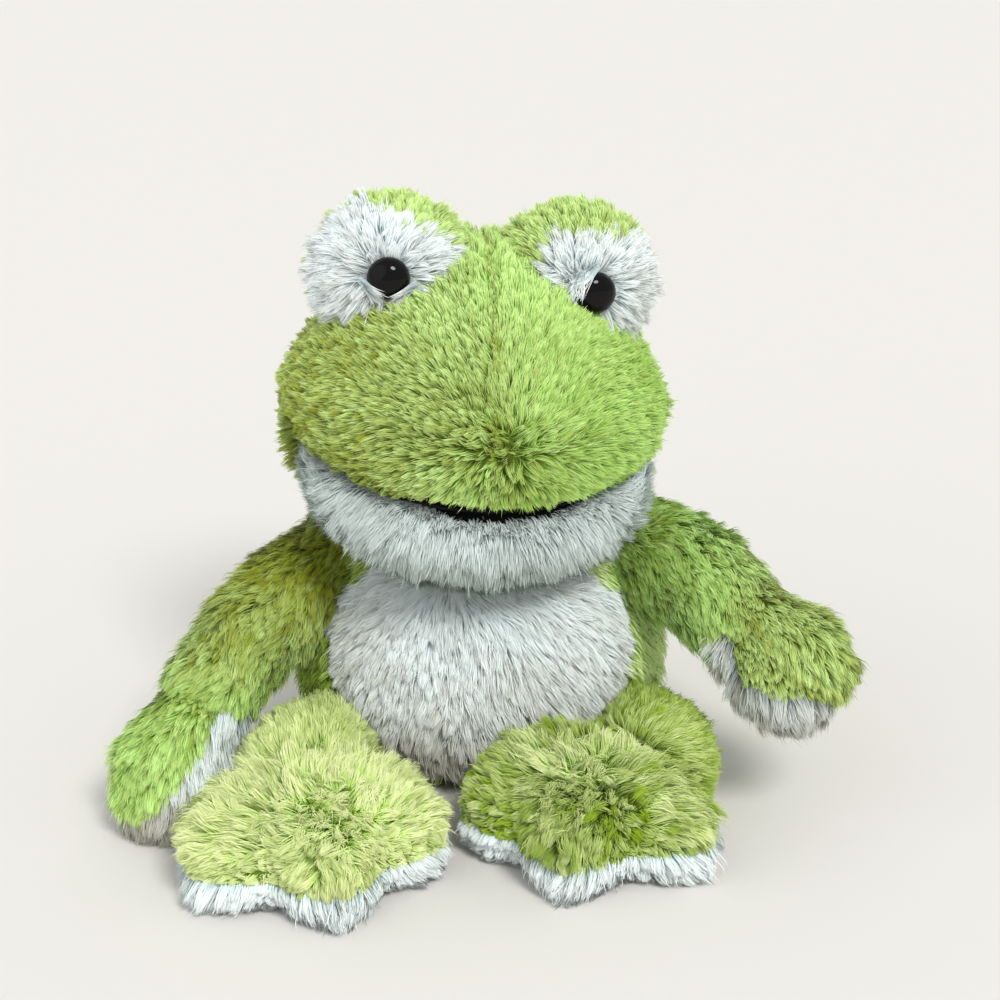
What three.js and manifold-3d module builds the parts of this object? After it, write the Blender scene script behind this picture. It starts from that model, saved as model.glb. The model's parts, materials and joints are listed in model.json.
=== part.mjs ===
// A seated plush frog. Millimetres, +Z up, the toy faces -Y, left and right are its own sides.
// The origin is the middle of the flat face that it sits on.

import * as THREE from 'three';
import { mergeVertices } from 'three/addons/utils/BufferGeometryUtils.js';
import Module from 'manifold-3d';

const wasm = await Module();
wasm.setup();

// Skins and seams
const skinWall = 5.5;          // plush backing with its pressed pile
const seamGap = 0.3;           // between pieces that touch
const jointGap = 0.3;          // round the root of a limb that turns
const flatDepth = 0.5;         // how much of a round bottom is cut flat
const overrun = 60;            // how far a cutting rod runs past what it cuts
const cutReach = 1200;         // the size of a cutting box
const weldDistance = 0.0003;   // corners closer than this are one

// Torso
const torsoHeight = 112;
const torsoHalfWidth = 69;
const torsoFront = 61;
const torsoBack = 52;
const torsoLean = 9;           // the neck stands this far to the right of the seat
const torsoMiddleLean = 3;
const bellyHalfWidth = 58;
const bellyBottom = 4;
const bellyTop = 100;
const bellySide = 12;          // the panel's edge lies this far in front of the torso's middle
const pelletHeight = 30;

// Neck
const neckDrop = 14;             // from the torso's top down to the neck's centre
const neckBall = 30;
const neckThread = 1.3;        // radius of the gathered thread
const neckThreadRise = 12;
const neckThreadGap = 1.2;
const neckSocket = 34;
const neckRoomRise = 6;        // below this height the head's underside flares out round the shoulders
const neckRoomSlope = 22;
const neckRoomRadius = 64;
const neckRoomDepth = 30;
const shoulderRoomInner = 28;  // the head's underside is cut level over the shoulders
const shoulderRoomOuter = 95;
const shoulderRoomFront = 44;
const shoulderRoomBack = 34;
const shoulderRoomRise = 9;
const nodBackLimit = 12;
const nodDownLimit = 3;

// Head
const headYaw = 8;
const headRoll = 4;
const headBottom = 16;         // below the neck's centre
const headTop = 106;           // above the neck's centre
const headHalfWidth = 69;
const headFront = 66;
const headBack = 56;
const headForward = 14;
const lipReach = 77;           // the mouth's plane runs from the lip back and up to its corners
const lipHeight = 23;
const mouthCornerReach = 44;
const mouthCornerHeight = 35;
const mouthBack = 18;          // the mouth's opening starts this far in front of the neck
const liningThickness = 1.8;
const liningInset = 1;

// Jaw, a stuffed crescent under the mouth
const jawHalfWidth = 58;
const jawCornerReach = 20;
const jawReach = 58;
const jawHeight = 8.5;
const jawRise = 27;
const jawRadius = 18;
const jawTurn = 78;            // half the angle that the crescent runs through

// Eyes on their mounds
const moundApart = 33;
const moundForward = 18;
const moundHeight = 94;
const moundHalfWidth = 28;
const moundDepth = 25;
const moundHalfHeight = 26;
const moundTurn = 8;           // the eyes look outwards
const eyeRightLift = 6;        // how far up its mound each eye sits, in degrees
const eyeLeftLift = 0;
const patchBack = 2;           // the white patch starts this far in front of the mound's middle
const patchRightTop = 23;
const patchLeftTop = 15;
const eyeRadius = 7.5;
const eyeBulge = 6;
const eyeRim = 1;
const eyeSeatDepth = 2;
const shankRadius = 2.2;
const shankLength = 9;
const shankFit = 0.3;
const washerRadius = 6;
const washerThickness = 1.2;
const washerDepth = 5;         // from the eye's seat to the washer

// Arms
const shoulderRightDrop = 30;   // below the torso's top
const shoulderLeftDrop = 26;
const shoulderRight = new THREE.Vector3(-51, -6, torsoHeight - shoulderRightDrop);
const shoulderLeft = new THREE.Vector3(52, -6, torsoHeight - shoulderLeftDrop);
const shoulderTilt = 45;       // the swing goes outwards and up together
const armLength = 108;
const armRadius = 20;
const armRoot = 18.5;
const armOpenLimit = 60;
const armLeftOpenLimit = 35;
const armLeftCloseLimit = 5;
const palmDepth = 5;           // from the middle of the hand to the palm's edge
const palmHeel = 4;            // from the wrist to the palm

// Legs
const hipRight = new THREE.Vector3(-48, -31, 19);
const hipLeft = new THREE.Vector3(50, -26, 19);
const legLength = 62;
const legRadius = 22.5;
const legRoot = 17;
const legThick = 20.5;         // where the leg leaves the torso
const legLiftLimit = 12;

// Feet
const footRight = new THREE.Vector3(-60, -99, 13);
const footLeft = new THREE.Vector3(39, -81, 13);
const footRightTurn = 15;
const footLeftTurn = -14;
const footReach = 49.5;
const footHeel = 24;
const footToeSpread = 60;      // between one toe and the next
const footWebDepth = 8;        // how far the webbing draws back between the toes
const footRise = 25;
const footToeRise = 15;
const footDrop = 13.5;

// Counts of faces
const torsoSides = 20;
const torsoRings = 12;
const headSides = 24;
const headRings = 13;
const jawSides = 12;
const jawRings = 12;
const jawSpineSteps = 6;
const bellySides = 24;
const moundSides = 16;
const moundInnerSides = 10;
const limbSides = 12;
const limbRings = 11;
const footSides = 24;
const footRings = 3;
const footInnerSides = 12;
const ballSides = 14;
const roomSides = 10;
const fillRoomSides = 8;
const threadSides = 6;
const eyeSides = 18;
const domeSteps = 4;
const neckArcSteps = 4;
const swingStep = 30;

// The share of the counts that a hidden inner surface has
const innerShare = 0.6;

// Sections of each form from its start to its end. Each row holds the share along the spine,
// then the shares of the form's width, its front and its back there.
const torsoShares = [
    [0, 0.94, 0.95, 0.9],
    [0.25, 1, 1, 1],
    [0.5, 0.95, 0.95, 0.98],
    [0.72, 0.84, 0.82, 0.88],
    [0.88, 0.64, 0.62, 0.66],
    [1, 0.5, 0.5, 0.5],
];
const headShares = [
    [0, 0.8, 0.8, 0.8],
    [0.2, 0.92, 0.9, 0.9],
    [0.42, 1, 1, 1],
    [0.55, 1, 1, 1.02],
    [0.68, 0.9, 0.9, 1],
    [0.84, 0.82, 0.76, 0.92],
    [1, 0.72, 0.6, 0.8],
];
const jawShares = [
    [0, 0.6, 0.6, 0.6],
    [0.25, 0.88, 0.88, 0.88],
    [0.5, 1, 1, 1],
    [0.75, 0.88, 0.88, 0.88],
    [1, 0.6, 0.6, 0.6],
];
const armShares = [
    [0, 0.88, 0.88, 0.88],
    [0.3, 0.95, 0.95, 0.95],
    [0.52, 0.92, 0.92, 0.92],
    [0.66, 0.82, 0.82, 0.82],
    [0.85, 1.2, 0.96, 0.96],
    [1, 1.16, 0.85, 0.85],
];
const legShares = [
    [0, 0.68, 0.68, 0.68],
    [0.4, 0.84, 0.82, 0.82],
    [0.7, 1, 1, 1],
    [1, 1, 0.95, 0.95],
];

// The middle lines of the arms and legs, as shares of their lengths from the shoulder or hip.
const armRightPathShares = [
    [0.1, 0.07, 0.05],
    [0, 0, 0],
    [-0.26, -0.22, -0.15],
    [-0.46, -0.48, -0.36],
    [-0.565, -0.63, -0.56],
    [-0.61, -0.7, -0.76],
];
const armLeftPathShares = [
    [-0.1, 0.08, 0.03],
    [0, 0, 0],
    [0.26, -0.24, -0.06],
    [0.385, -0.42, -0.14],
    [0.52, -0.56, -0.22],
    [0.62, -0.67, -0.35],
];
const legRightPathShares = [
    [0.06, 0.18, 0],
    [0, 0, 0],
    [-0.24, -0.46, 0],
    [-0.28, -1, 0.06],
];
const legLeftPathShares = [
    [-0.06, 0.18, 0],
    [0, 0, 0],
    [0.18, -0.42, 0.02],
    [0.14, -0.92, 0.08],
];

// Which way the palms face
const palmRightShares = [0.8, 0, -0.6];
const palmLeftShares = [-0.5, -0.3, -0.8];

// How square the two ends of a form are: 2 is an ellipse, more is blunter.
const torsoEnds = [3.4, 2.6];
const headEnds = [2.4, 2.4];
const jawEnds = [3, 3];
const limbEnds = [4, 3.4];

// How sharply a foot's rim turns over, and how its top slopes up to the middle
const footRimPower = 6;
const footTopPower = 1.5;

// Finishes
const cloth = (color) => new THREE.MeshStandardMaterial({ color, roughness: 0.95, metalness: 0 });
const plastic = (color, roughness) => new THREE.MeshStandardMaterial({ color, roughness, metalness: 0 });
const greenPlush = cloth(0xa3c450);
const brightPlush = cloth(0xc4e67e);
const whitePlush = cloth(0xe2e4e0);
const blackFelt = cloth(0x16161a);
const fibre = cloth(0xf1efe8);
const pellets = cloth(0xcbb98f);
const thread = cloth(0x8fae48);
const eyeBlack = plastic(0x08080a, 0.08);
const washerWhite = plastic(0xd8d8d4, 0.5);

const xAxis = new THREE.Vector3(1, 0, 0);
const yAxis = new THREE.Vector3(0, 1, 0);
const zAxis = new THREE.Vector3(0, 0, 1);
const down = zAxis.clone().negate();
const ahead = yAxis.clone().negate();
const degrees = THREE.MathUtils.degToRad;

// A closed geometry as a solid that can be cut and joined.
function solidOf(geometry, matrix = new THREE.Matrix4()) {
    const bare = geometry.clone();
    bare.deleteAttribute('normal');
    bare.deleteAttribute('uv');
    bare.applyMatrix4(matrix);
    const merged = mergeVertices(bare, weldDistance);
    const corners = merged.index.array;
    const triVerts = [];
    for (let face = 0; face < corners.length; face += 3) {
        const [a, b, c] = corners.slice(face, face + 3);
        if (a !== b && b !== c && c !== a) triVerts.push(a, b, c);
    }
    return new wasm.Manifold(new wasm.Mesh({
        numProp: 3,
        vertProperties: new Float32Array(merged.attributes.position.array),
        triVerts: new Uint32Array(triVerts),
    }));
}

function meshOf(name, solid, material) {
    const { vertProperties, triVerts } = solid.getMesh();
    const geometry = new THREE.BufferGeometry();
    geometry.setAttribute('position', new THREE.BufferAttribute(vertProperties, 3));
    geometry.setIndex(new THREE.BufferAttribute(triVerts, 1));
    geometry.computeVertexNormals();
    const mesh = new THREE.Mesh(geometry, material);
    mesh.name = name;
    return mesh;
}

const moved = (solid, matrix) => solid.transform(matrix.elements);
const placedAt = (place) => new THREE.Matrix4().makeTranslation(place.x, place.y, place.z);
const turnedBy = (axis, angle) => new THREE.Matrix4().makeRotationAxis(axis, degrees(angle));
const joined = (solids) => solids.reduce((whole, next) => whole.add(next));

function pointing(from, to) {
    const turn = new THREE.Quaternion().setFromUnitVectors(from, to.clone().normalize());
    return new THREE.Matrix4().makeRotationFromQuaternion(turn);
}

const ballSolid = (radius, centre, sides = ballSides) =>
    solidOf(new THREE.SphereGeometry(radius, sides, Math.round(sides / 2)), placedAt(centre));

// All that lies beyond a plane through a place, as a box that is large enough to cut with.
function beyond(place, normal) {
    const box = new THREE.BoxGeometry(cutReach, cutReach, cutReach).translate(0, 0, cutReach / 2);
    return solidOf(box, placedAt(place).multiply(pointing(zAxis, normal)));
}

// The values of a table of sections between its rows.
function sectionsOf(table) {
    const places = table.map((row) => row[0]);
    const values = table.flatMap((row) => row.slice(1));
    const between = new THREE.CubicInterpolant(places, values, table[0].length - 1);
    return (share) => Array.from(between.evaluate(share));
}

function closedGeometry(points, faces) {
    return new THREE.BufferGeometry().setFromPoints(points).setIndex(faces);
}

// Faces between rings of the same number of points, with a single point at each end.
function ringFaces(ringCount, sides) {
    const faces = [];
    const last = 1 + ringCount * sides;
    for (let step = 0; step < sides; step++) {
        const next = (step + 1) % sides;
        faces.push(0, 1 + next, 1 + step);
        for (let ring = 0; ring < ringCount - 1; ring++) {
            const low = 1 + ring * sides;
            const high = low + sides;
            faces.push(low + step, low + next, high + next);
            faces.push(low + step, high + next, high + step);
        }
        const top = last - sides;
        faces.push(last, top + step, top + next);
    }
    return faces;
}

// A stuffed form: rings along a spine that swell and taper, closed by a point at each end.
// Inset draws the whole surface in. The sections' backs face the reference axis.
function stuffedForm({ spine, table, width, front, back, rings, sides, ends, rearAxis = yAxis }, inset = 0) {
    const sections = sectionsOf(table);
    const length = spine.getLength();
    const points = [];
    for (let ring = 0; ring <= rings; ring++) {
        const share = (1 - Math.cos(Math.PI * ring / rings)) / 2;
        const drawn = THREE.MathUtils.lerp(inset / length, 1 - inset / length, share);
        const within = THREE.MathUtils.clamp(drawn, 0, 1);
        const tangent = spine.getTangentAt(within);
        const place = spine.getPointAt(within).addScaledVector(tangent, (drawn - within) * length);
        if (ring === 0 || ring === rings) {
            points.push(place);
            continue;
        }
        const side = new THREE.Vector3().crossVectors(rearAxis, tangent).normalize();
        const rear = new THREE.Vector3().crossVectors(tangent, side).normalize();
        const end = share < 0.5 ? ends[0] : ends[1];
        const swell = (1 - Math.abs(2 * share - 1) ** end) ** (1 / end);
        const [wide, fore, aft] = sections(within);
        for (let step = 0; step < sides; step++) {
            const angle = 2 * Math.PI * step / sides;
            const depth = angle > Math.PI ? front * fore : back * aft;
            const point = place.clone();
            point.addScaledVector(side, swell * (width * wide - inset) * Math.cos(angle));
            point.addScaledVector(rear, swell * (depth - inset) * Math.sin(angle));
            points.push(point);
        }
    }
    return closedGeometry(points, ringFaces(rings - 1, sides));
}

// A form as solids: its outside, its inside, its filling, and one grown by a seam's gap.
function stuffedParts(form) {
    const inner = {
        ...form,
        rings: Math.round(form.rings * innerShare),
        sides: Math.round(form.sides * innerShare),
    };
    return {
        outer: solidOf(stuffedForm(form)),
        inner: solidOf(stuffedForm(inner, skinWall)),
        fill: solidOf(stuffedForm(inner, skinWall + seamGap)),
        grown: solidOf(stuffedForm(form, -seamGap)),
    };
}

// Forms of the body

const seat = new THREE.Vector3();
const neckCentre = new THREE.Vector3(-torsoLean, 0, torsoHeight - neckDrop);
const torsoFormData = {
    spine: new THREE.CatmullRomCurve3([
        new THREE.Vector3(0, 0, -flatDepth),
        new THREE.Vector3(-torsoMiddleLean, 0, torsoHeight / 2),
        new THREE.Vector3(-torsoLean, 0, torsoHeight),
    ]),
    table: torsoShares, width: torsoHalfWidth, front: torsoFront, back: torsoBack,
    rings: torsoRings, sides: torsoSides, ends: torsoEnds,
};
const floor = beyond(seat, down);

function pathOf(shares, length) {
    return shares.map((row) => new THREE.Vector3(...row).multiplyScalar(length));
}

function rootDirection(shares) {
    return new THREE.Vector3(...shares[2]).normalize();
}

// The room that a limb's round root needs about its joint, from one angle to another.
function swingRoom({ centre, axis, direction, from, to, root, thick }, sides) {
    const steps = Math.max(1, Math.ceil((to - from) / swingStep));
    const facing = 1 / Math.cos(Math.PI / sides);
    const tubeRadius = (thick + jointGap) * facing;
    const ballRadius = (root + jointGap) * facing * facing;
    const tube = new THREE.CylinderGeometry(tubeRadius, tubeRadius, overrun, sides);
    tube.translate(0, overrun / 2, 0);
    const solids = [ballSolid(ballRadius, centre, sides)];
    for (let step = 0; step <= steps; step++) {
        const angle = THREE.MathUtils.lerp(from, to, step / steps);
        const swing = placedAt(centre).multiply(turnedBy(axis, angle)).multiply(pointing(yAxis, direction));
        solids.push(solidOf(tube, swing));
    }
    return joined(solids);
}

const tilt = degrees(shoulderTilt);
const armRightAxis = new THREE.Vector3(0, Math.cos(tilt), -Math.sin(tilt));
const armLeftAxis = armRightAxis.clone().negate();
const legAxis = xAxis.clone().negate();

const limbSwings = [
    {
        centre: shoulderRight, axis: armRightAxis, direction: rootDirection(armRightPathShares),
        from: 0, to: armOpenLimit, root: armRoot, thick: armRoot,
    },
    {
        centre: shoulderLeft, axis: armLeftAxis, direction: rootDirection(armLeftPathShares),
        from: -armLeftCloseLimit, to: armLeftOpenLimit, root: armRoot, thick: armRoot,
    },
    {
        centre: hipRight, axis: legAxis, direction: rootDirection(legRightPathShares),
        from: 0, to: legLiftLimit, root: legRoot, thick: legThick,
    },
    {
        centre: hipLeft, axis: legAxis, direction: rootDirection(legLeftPathShares),
        from: 0, to: legLiftLimit, root: legRoot, thick: legThick,
    },
];
const limbRooms = (sides) => joined(limbSwings.map((swing) => swingRoom(swing, sides)));

// The outline of the belly panel, drawn on the toy's front.
function bellyZone(gap) {
    const halfHeight = (bellyTop - bellyBottom) / 2;
    const outline = new THREE.Shape();
    const centreHeight = bellyBottom + halfHeight;
    const halfWidth = bellyHalfWidth + gap;
    outline.absellipse(0, centreHeight, halfWidth, halfHeight + gap, 0, 2 * Math.PI);
    const options = { depth: 2 * torsoFront, bevelEnabled: false, curveSegments: bellySides };
    const cut = new THREE.ExtrudeGeometry(outline, options);
    cut.translate(0, 0, bellySide - gap);
    return solidOf(cut, turnedBy(xAxis, 90));
}

function makeTorso() {
    const group = new THREE.Group();
    const { outer, inner, fill } = stuffedParts(torsoFormData);
    const skin = outer.add(ballSolid(neckBall, neckCentre, torsoSides))
        .subtract(inner.add(ballSolid(neckBall - skinWall, neckCentre)))
        .subtract(limbRooms(roomSides)).subtract(floor);
    const filling = fill.add(ballSolid(neckBall - skinWall - seamGap, neckCentre))
        .subtract(limbRooms(fillRoomSides));
    const pelletTop = new THREE.Vector3(0, 0, pelletHeight);
    const pelletLid = new THREE.Vector3(0, 0, pelletHeight + seamGap);
    group.add(meshOf('belly_panel', skin.intersect(bellyZone(0)), whitePlush));
    group.add(meshOf('torso_skin', skin.subtract(bellyZone(seamGap)), greenPlush));
    group.add(meshOf('torso_stuffing', filling.subtract(beyond(pelletLid, down)), fibre));
    group.add(meshOf('seat_pellet_bag', filling.intersect(beyond(pelletTop, down)), pellets));
    return group;
}

function makeNeckSeam() {
    const centreRadius = Math.sqrt(neckBall ** 2 - neckThreadRise ** 2) + neckThread + neckThreadGap;
    const ring = new THREE.TorusGeometry(centreRadius, neckThread, threadSides, ballSides);
    const mesh = meshOf('neck_seam', solidOf(ring), thread);
    mesh.position.copy(neckCentre);
    mesh.position.z += neckThreadRise;
    return mesh;
}

// Head. Its own frame starts at the neck's centre and is turned and rolled with it.

const headTurn = new THREE.Euler(0, degrees(headRoll), degrees(headYaw), 'ZYX');
const headFormData = {
    spine: new THREE.CatmullRomCurve3([
        new THREE.Vector3(0, -headForward, -headBottom),
        new THREE.Vector3(0, -headForward, (headTop - headBottom) / 2),
        new THREE.Vector3(0, -headForward, headTop),
    ]),
    table: headShares, width: headHalfWidth, front: headFront, back: headBack,
    rings: headRings, sides: headSides, ends: headEnds,
};
const jawFormData = {
    spine: new THREE.CatmullRomCurve3(Array.from({ length: jawSpineSteps + 1 }, (none, step) => {
        const angle = degrees(THREE.MathUtils.lerp(-jawTurn, jawTurn, step / jawSpineSteps));
        return new THREE.Vector3(
            jawHalfWidth * Math.sin(angle),
            -jawCornerReach - (jawReach - jawCornerReach) * Math.cos(angle),
            jawHeight + jawRise * (1 - Math.cos(angle)));
    })),
    table: jawShares, width: jawRadius, front: jawRadius, back: jawRadius,
    rings: jawRings, sides: jawSides, ends: jawEnds,
};

// The neck's room under the head, for every angle of the nod.
function neckRooms(sides, arcSteps, angles) {
    const arc = [];
    const start = Math.asin(neckRoomRise / neckSocket);
    for (let step = 0; step <= arcSteps; step++) {
        const angle = THREE.MathUtils.lerp(start, Math.PI / 2, step / arcSteps);
        arc.push(new THREE.Vector2(neckSocket * Math.cos(angle), neckSocket * Math.sin(angle)));
    }
    arc[arcSteps].x = 0;
    const profile = [
        new THREE.Vector2(0, -neckRoomDepth),
        new THREE.Vector2(neckRoomRadius, -neckRoomDepth),
        new THREE.Vector2(neckRoomRadius, neckRoomRise - neckRoomSlope),
        ...arc,
    ];
    const room = new THREE.LatheGeometry(profile, sides).rotateX(Math.PI / 2);
    const wider = 1 / Math.cos(Math.PI / sides);
    room.scale(wider, wider, wider);
    const width = shoulderRoomOuter - shoulderRoomInner;
    const length = shoulderRoomFront + shoulderRoomBack;
    const height = shoulderRoomRise + neckRoomDepth;
    const shoulders = [-1, 1].map((side) => new THREE.BoxGeometry(width, length, height).translate(
        side * (shoulderRoomInner + width / 2),
        (shoulderRoomBack - shoulderRoomFront) / 2,
        shoulderRoomRise - height / 2));
    const level = new THREE.Matrix4().makeRotationFromEuler(headTurn).invert();
    return joined(angles.flatMap((angle) => {
        const nodded = level.clone().multiply(turnedBy(xAxis, angle));
        return [room, ...shoulders].map((shape) => solidOf(shape, nodded));
    }));
}

// Everything under the mouth's plane, moved down by a depth, and in front of the neck.
function underMouth(depth, gap) {
    const plane = new THREE.Vector3(0, mouthCornerHeight - lipHeight, mouthCornerReach - lipReach);
    const lip = new THREE.Vector3(0, -lipReach, lipHeight).addScaledVector(plane.clone().normalize(), depth);
    const front = new THREE.Vector3(0, -mouthBack - gap, 0);
    return beyond(lip, plane).intersect(beyond(front, ahead));
}

function halfOf(side) {
    return beyond(new THREE.Vector3(side * seamGap / 2, 0, 0), new THREE.Vector3(side, 0, 0));
}

function moundData(side) {
    const centre = new THREE.Vector3(side * moundApart, -moundForward, moundHeight);
    const turn = degrees(side * moundTurn);
    const lift = degrees(side < 0 ? eyeRightLift : eyeLeftLift);
    const level = Math.cos(lift);
    const gaze = new THREE.Vector3(level * Math.sin(turn), -level * Math.cos(turn), Math.sin(lift));
    const sizes = new THREE.Vector3(moundHalfWidth, moundDepth, moundHalfHeight);
    const surface = 1 / gaze.clone().divide(sizes).length();
    const seatPlace = centre.clone().addScaledVector(gaze, surface - eyeSeatDepth);
    const patchTop = side < 0 ? patchRightTop : patchLeftTop;
    return { centre, gaze, sizes, seatPlace, patchTop };
}

function moundSolid({ centre, sizes }, inset, sides) {
    const sphere = new THREE.SphereGeometry(1, sides, Math.round(sides / 2));
    const grown = sizes.clone().subScalar(inset);
    return solidOf(sphere.rotateX(Math.PI / 2), placedAt(centre).multiply(
        new THREE.Matrix4().makeScale(grown.x, grown.y, grown.z)));
}

function lathed(profile, sides) {
    return new THREE.LatheGeometry(profile.map((row) => new THREE.Vector2(...row)), sides);
}

function makeEye(name, { gaze, seatPlace }) {
    const dome = [];
    for (let step = 0; step <= domeSteps; step++) {
        const angle = Math.PI / 2 * step / domeSteps;
        dome.push([eyeRadius * Math.cos(angle), eyeRim + (eyeBulge - eyeRim) * Math.sin(angle)]);
    }
    dome[domeSteps][0] = 0;
    const shank = [[0, -shankLength], [shankRadius, -shankLength], [shankRadius, 0]];
    const profile = [...shank, [eyeRadius, 0], ...dome];
    const mesh = meshOf(name, solidOf(lathed(profile, eyeSides)), eyeBlack);
    mesh.position.copy(seatPlace).addScaledVector(gaze, seamGap);
    mesh.quaternion.setFromUnitVectors(yAxis, gaze);
    return mesh;
}

function makeWasher(name, { gaze, seatPlace }) {
    const bore = shankRadius + shankFit;
    const lower = [[bore, 0], [washerRadius, 0]];
    const upper = [[washerRadius, washerThickness], [bore, washerThickness]];
    const profile = [...lower, ...upper, lower[0]];
    const mesh = meshOf(name, solidOf(lathed(profile, ballSides)), washerWhite);
    mesh.position.copy(seatPlace).addScaledVector(gaze, -washerDepth - washerThickness);
    mesh.quaternion.setFromUnitVectors(yAxis, gaze);
    return mesh;
}

function eyeRoom({ gaze, seatPlace }, radius, from, to) {
    const rod = new THREE.CylinderGeometry(radius, radius, to - from, ballSides);
    rod.translate(0, (from + to) / 2, 0);
    return solidOf(rod, placedAt(seatPlace).multiply(pointing(yAxis, gaze)));
}

// The room of a washer and of the shank's end behind it
function washerRoom(mound) {
    return eyeRoom(mound, washerRadius + shankFit, -shankLength - shankFit, shankFit - washerDepth);
}

// The white part of an eye mound: its front, below the green top.
function patchZone({ centre, patchTop }, gap) {
    const front = centre.clone().add(new THREE.Vector3(0, gap - patchBack, 0));
    const top = centre.clone().add(new THREE.Vector3(0, 0, patchTop + gap));
    return beyond(front, ahead).intersect(beyond(top, down));
}

function makeHead() {
    const group = new THREE.Group();
    group.position.copy(neckCentre);
    group.rotation.copy(headTurn);
    const nodMiddle = (nodBackLimit - nodDownLimit) / 2;
    const rooms = neckRooms(torsoSides, neckArcSteps, [-nodDownLimit, nodMiddle, nodBackLimit]);
    const head = stuffedParts(headFormData);
    const mouth = underMouth(0, 0);
    const washerRooms = joined([-1, 1].map((side) => washerRoom(moundData(side))));
    const skin = head.outer.subtract(head.inner).subtract(mouth).subtract(rooms).subtract(washerRooms);
    group.add(meshOf('head_skin_right', skin.intersect(halfOf(-1)), greenPlush));
    group.add(meshOf('head_skin_left', skin.intersect(halfOf(1)), greenPlush));
    const filling = head.fill.subtract(underMouth(-seamGap, -seamGap)).subtract(washerRooms)
        .subtract(neckRooms(fillRoomSides, neckArcSteps - 1, [-nodDownLimit, nodBackLimit]));
    group.add(meshOf('head_stuffing', filling, fibre));

    const lip = solidOf(stuffedForm(headFormData, liningInset)).subtract(rooms);
    const lining = lip.intersect(underMouth(seamGap, seamGap))
        .subtract(underMouth(seamGap + liningThickness, 0));
    group.add(meshOf('mouth_lining', lining, blackFelt));
    const jaw = stuffedParts(jawFormData);
    const jawRoom = underMouth(2 * seamGap + liningThickness, seamGap).subtract(rooms);
    group.add(meshOf('jaw_skin', jaw.outer.subtract(jaw.inner).intersect(jawRoom), whitePlush));
    group.add(meshOf('jaw_stuffing', jaw.fill.intersect(jawRoom), fibre));

    for (const [side, sideName] of [[-1, 'right'], [1, 'left']]) {
        const mound = moundData(side);
        const inside = moundSolid(mound, skinWall, moundInnerSides);
        const shell = moundSolid(mound, 0, moundSides).subtract(inside).subtract(head.grown)
            .subtract(eyeRoom(mound, eyeRadius + shankFit, 0, overrun))
            .subtract(eyeRoom(mound, shankRadius + shankFit, -shankLength, overrun))
            .subtract(washerRoom(mound));
        group.add(meshOf(`eye_mound_${sideName}`, shell.subtract(patchZone(mound, seamGap)), greenPlush));
        group.add(meshOf(`eye_patch_${sideName}`, shell.intersect(patchZone(mound, 0)), whitePlush));
        const filler = moundSolid(mound, skinWall + seamGap, moundInnerSides).subtract(head.grown)
            .subtract(washerRoom(mound));
        group.add(meshOf(`eye_mound_stuffing_${sideName}`, filler, fibre));
        group.add(makeEye(`eye_${sideName}`, mound));
        group.add(makeWasher(`eye_washer_${sideName}`, mound));
    }
    return group;
}

// Arms. Each one's frame starts at its shoulder.

function makeArm(sideName, centre, pathShares, palmShares) {
    const group = new THREE.Group();
    group.position.copy(centre);
    const path = pathOf(pathShares, armLength);
    const arm = stuffedParts({
        spine: new THREE.CatmullRomCurve3(path), table: armShares,
        width: armRadius, front: armRadius, back: armRadius,
        rings: limbRings, sides: limbSides, ends: limbEnds,
    });
    const under = beyond(centre.clone().negate().setX(0).setY(0), down);
    const [wrist, hand] = path.slice(3);
    const along = hand.clone().sub(wrist).normalize();
    const palm = new THREE.Vector3(...palmShares).normalize();
    const palmZone = (gap) => {
        const inner = hand.clone().addScaledVector(palm, palmDepth - gap);
        const heel = wrist.clone().addScaledVector(along, palmHeel - gap);
        return beyond(inner, palm).intersect(beyond(heel, along));
    };
    const skin = arm.outer.add(ballSolid(armRoot, seat))
        .subtract(arm.inner.add(ballSolid(armRoot - skinWall, seat, fillRoomSides))).subtract(under);
    const filling = arm.fill.add(ballSolid(armRoot - skinWall - seamGap, seat, fillRoomSides))
        .subtract(under);
    group.add(meshOf(`arm_skin_${sideName}`, skin.subtract(palmZone(seamGap)), greenPlush));
    group.add(meshOf(`palm_${sideName}`, skin.intersect(palmZone(0)), whitePlush));
    group.add(meshOf(`arm_stuffing_${sideName}`, filling, fibre));
    return group;
}

// Legs. Each one's frame starts at its hip.

// A foot seen from above: a heel, and three toes with webbing between them.
function footReachAt(angle) {
    const spread = degrees(footToeSpread);
    const turn = Math.abs(angle);
    if (turn <= spread) {
        return footReach - footWebDepth * (1 - Math.cos(turn * 2 * Math.PI / spread)) / 2;
    }
    const behind = (turn - spread) / (Math.PI - spread);
    return THREE.MathUtils.lerp(footHeel, footReach, ((1 + Math.cos(Math.PI * behind)) / 2) ** 2);
}

function footForm(sides, rings, inset = 0) {
    const points = [];
    const surface = (share, side) => {
        const rim = Math.sqrt(1 - share ** footRimPower);
        if (side < 0) return -(footDrop - inset) * rim;
        return (footToeRise - inset) * rim + (footRise - footToeRise) * (1 - share ** 2) ** footTopPower;
    };
    const ring = (share, side) => {
        for (let step = 0; step < sides; step++) {
            const angle = 2 * Math.PI * step / sides;
            const turn = angle > Math.PI ? angle - 2 * Math.PI : angle;
            const reach = (footReachAt(turn) - inset) * share;
            const height = surface(share, side);
            points.push(new THREE.Vector3(reach * Math.sin(turn), -reach * Math.cos(turn), height));
        }
    };
    const shareAt = (step) => Math.sin(Math.PI / 2 * (step + 1) / (rings + 1));
    const shares = Array.from({ length: rings }, (none, step) => shareAt(step));
    points.push(new THREE.Vector3(0, 0, surface(0, -1)));
    shares.forEach((share) => ring(share, -1));
    ring(1, -1);
    shares.reverse().forEach((share) => ring(share, 1));
    points.push(new THREE.Vector3(0, 0, surface(0, 1)));
    return closedGeometry(points, ringFaces(2 * rings + 1, sides));
}

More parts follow.
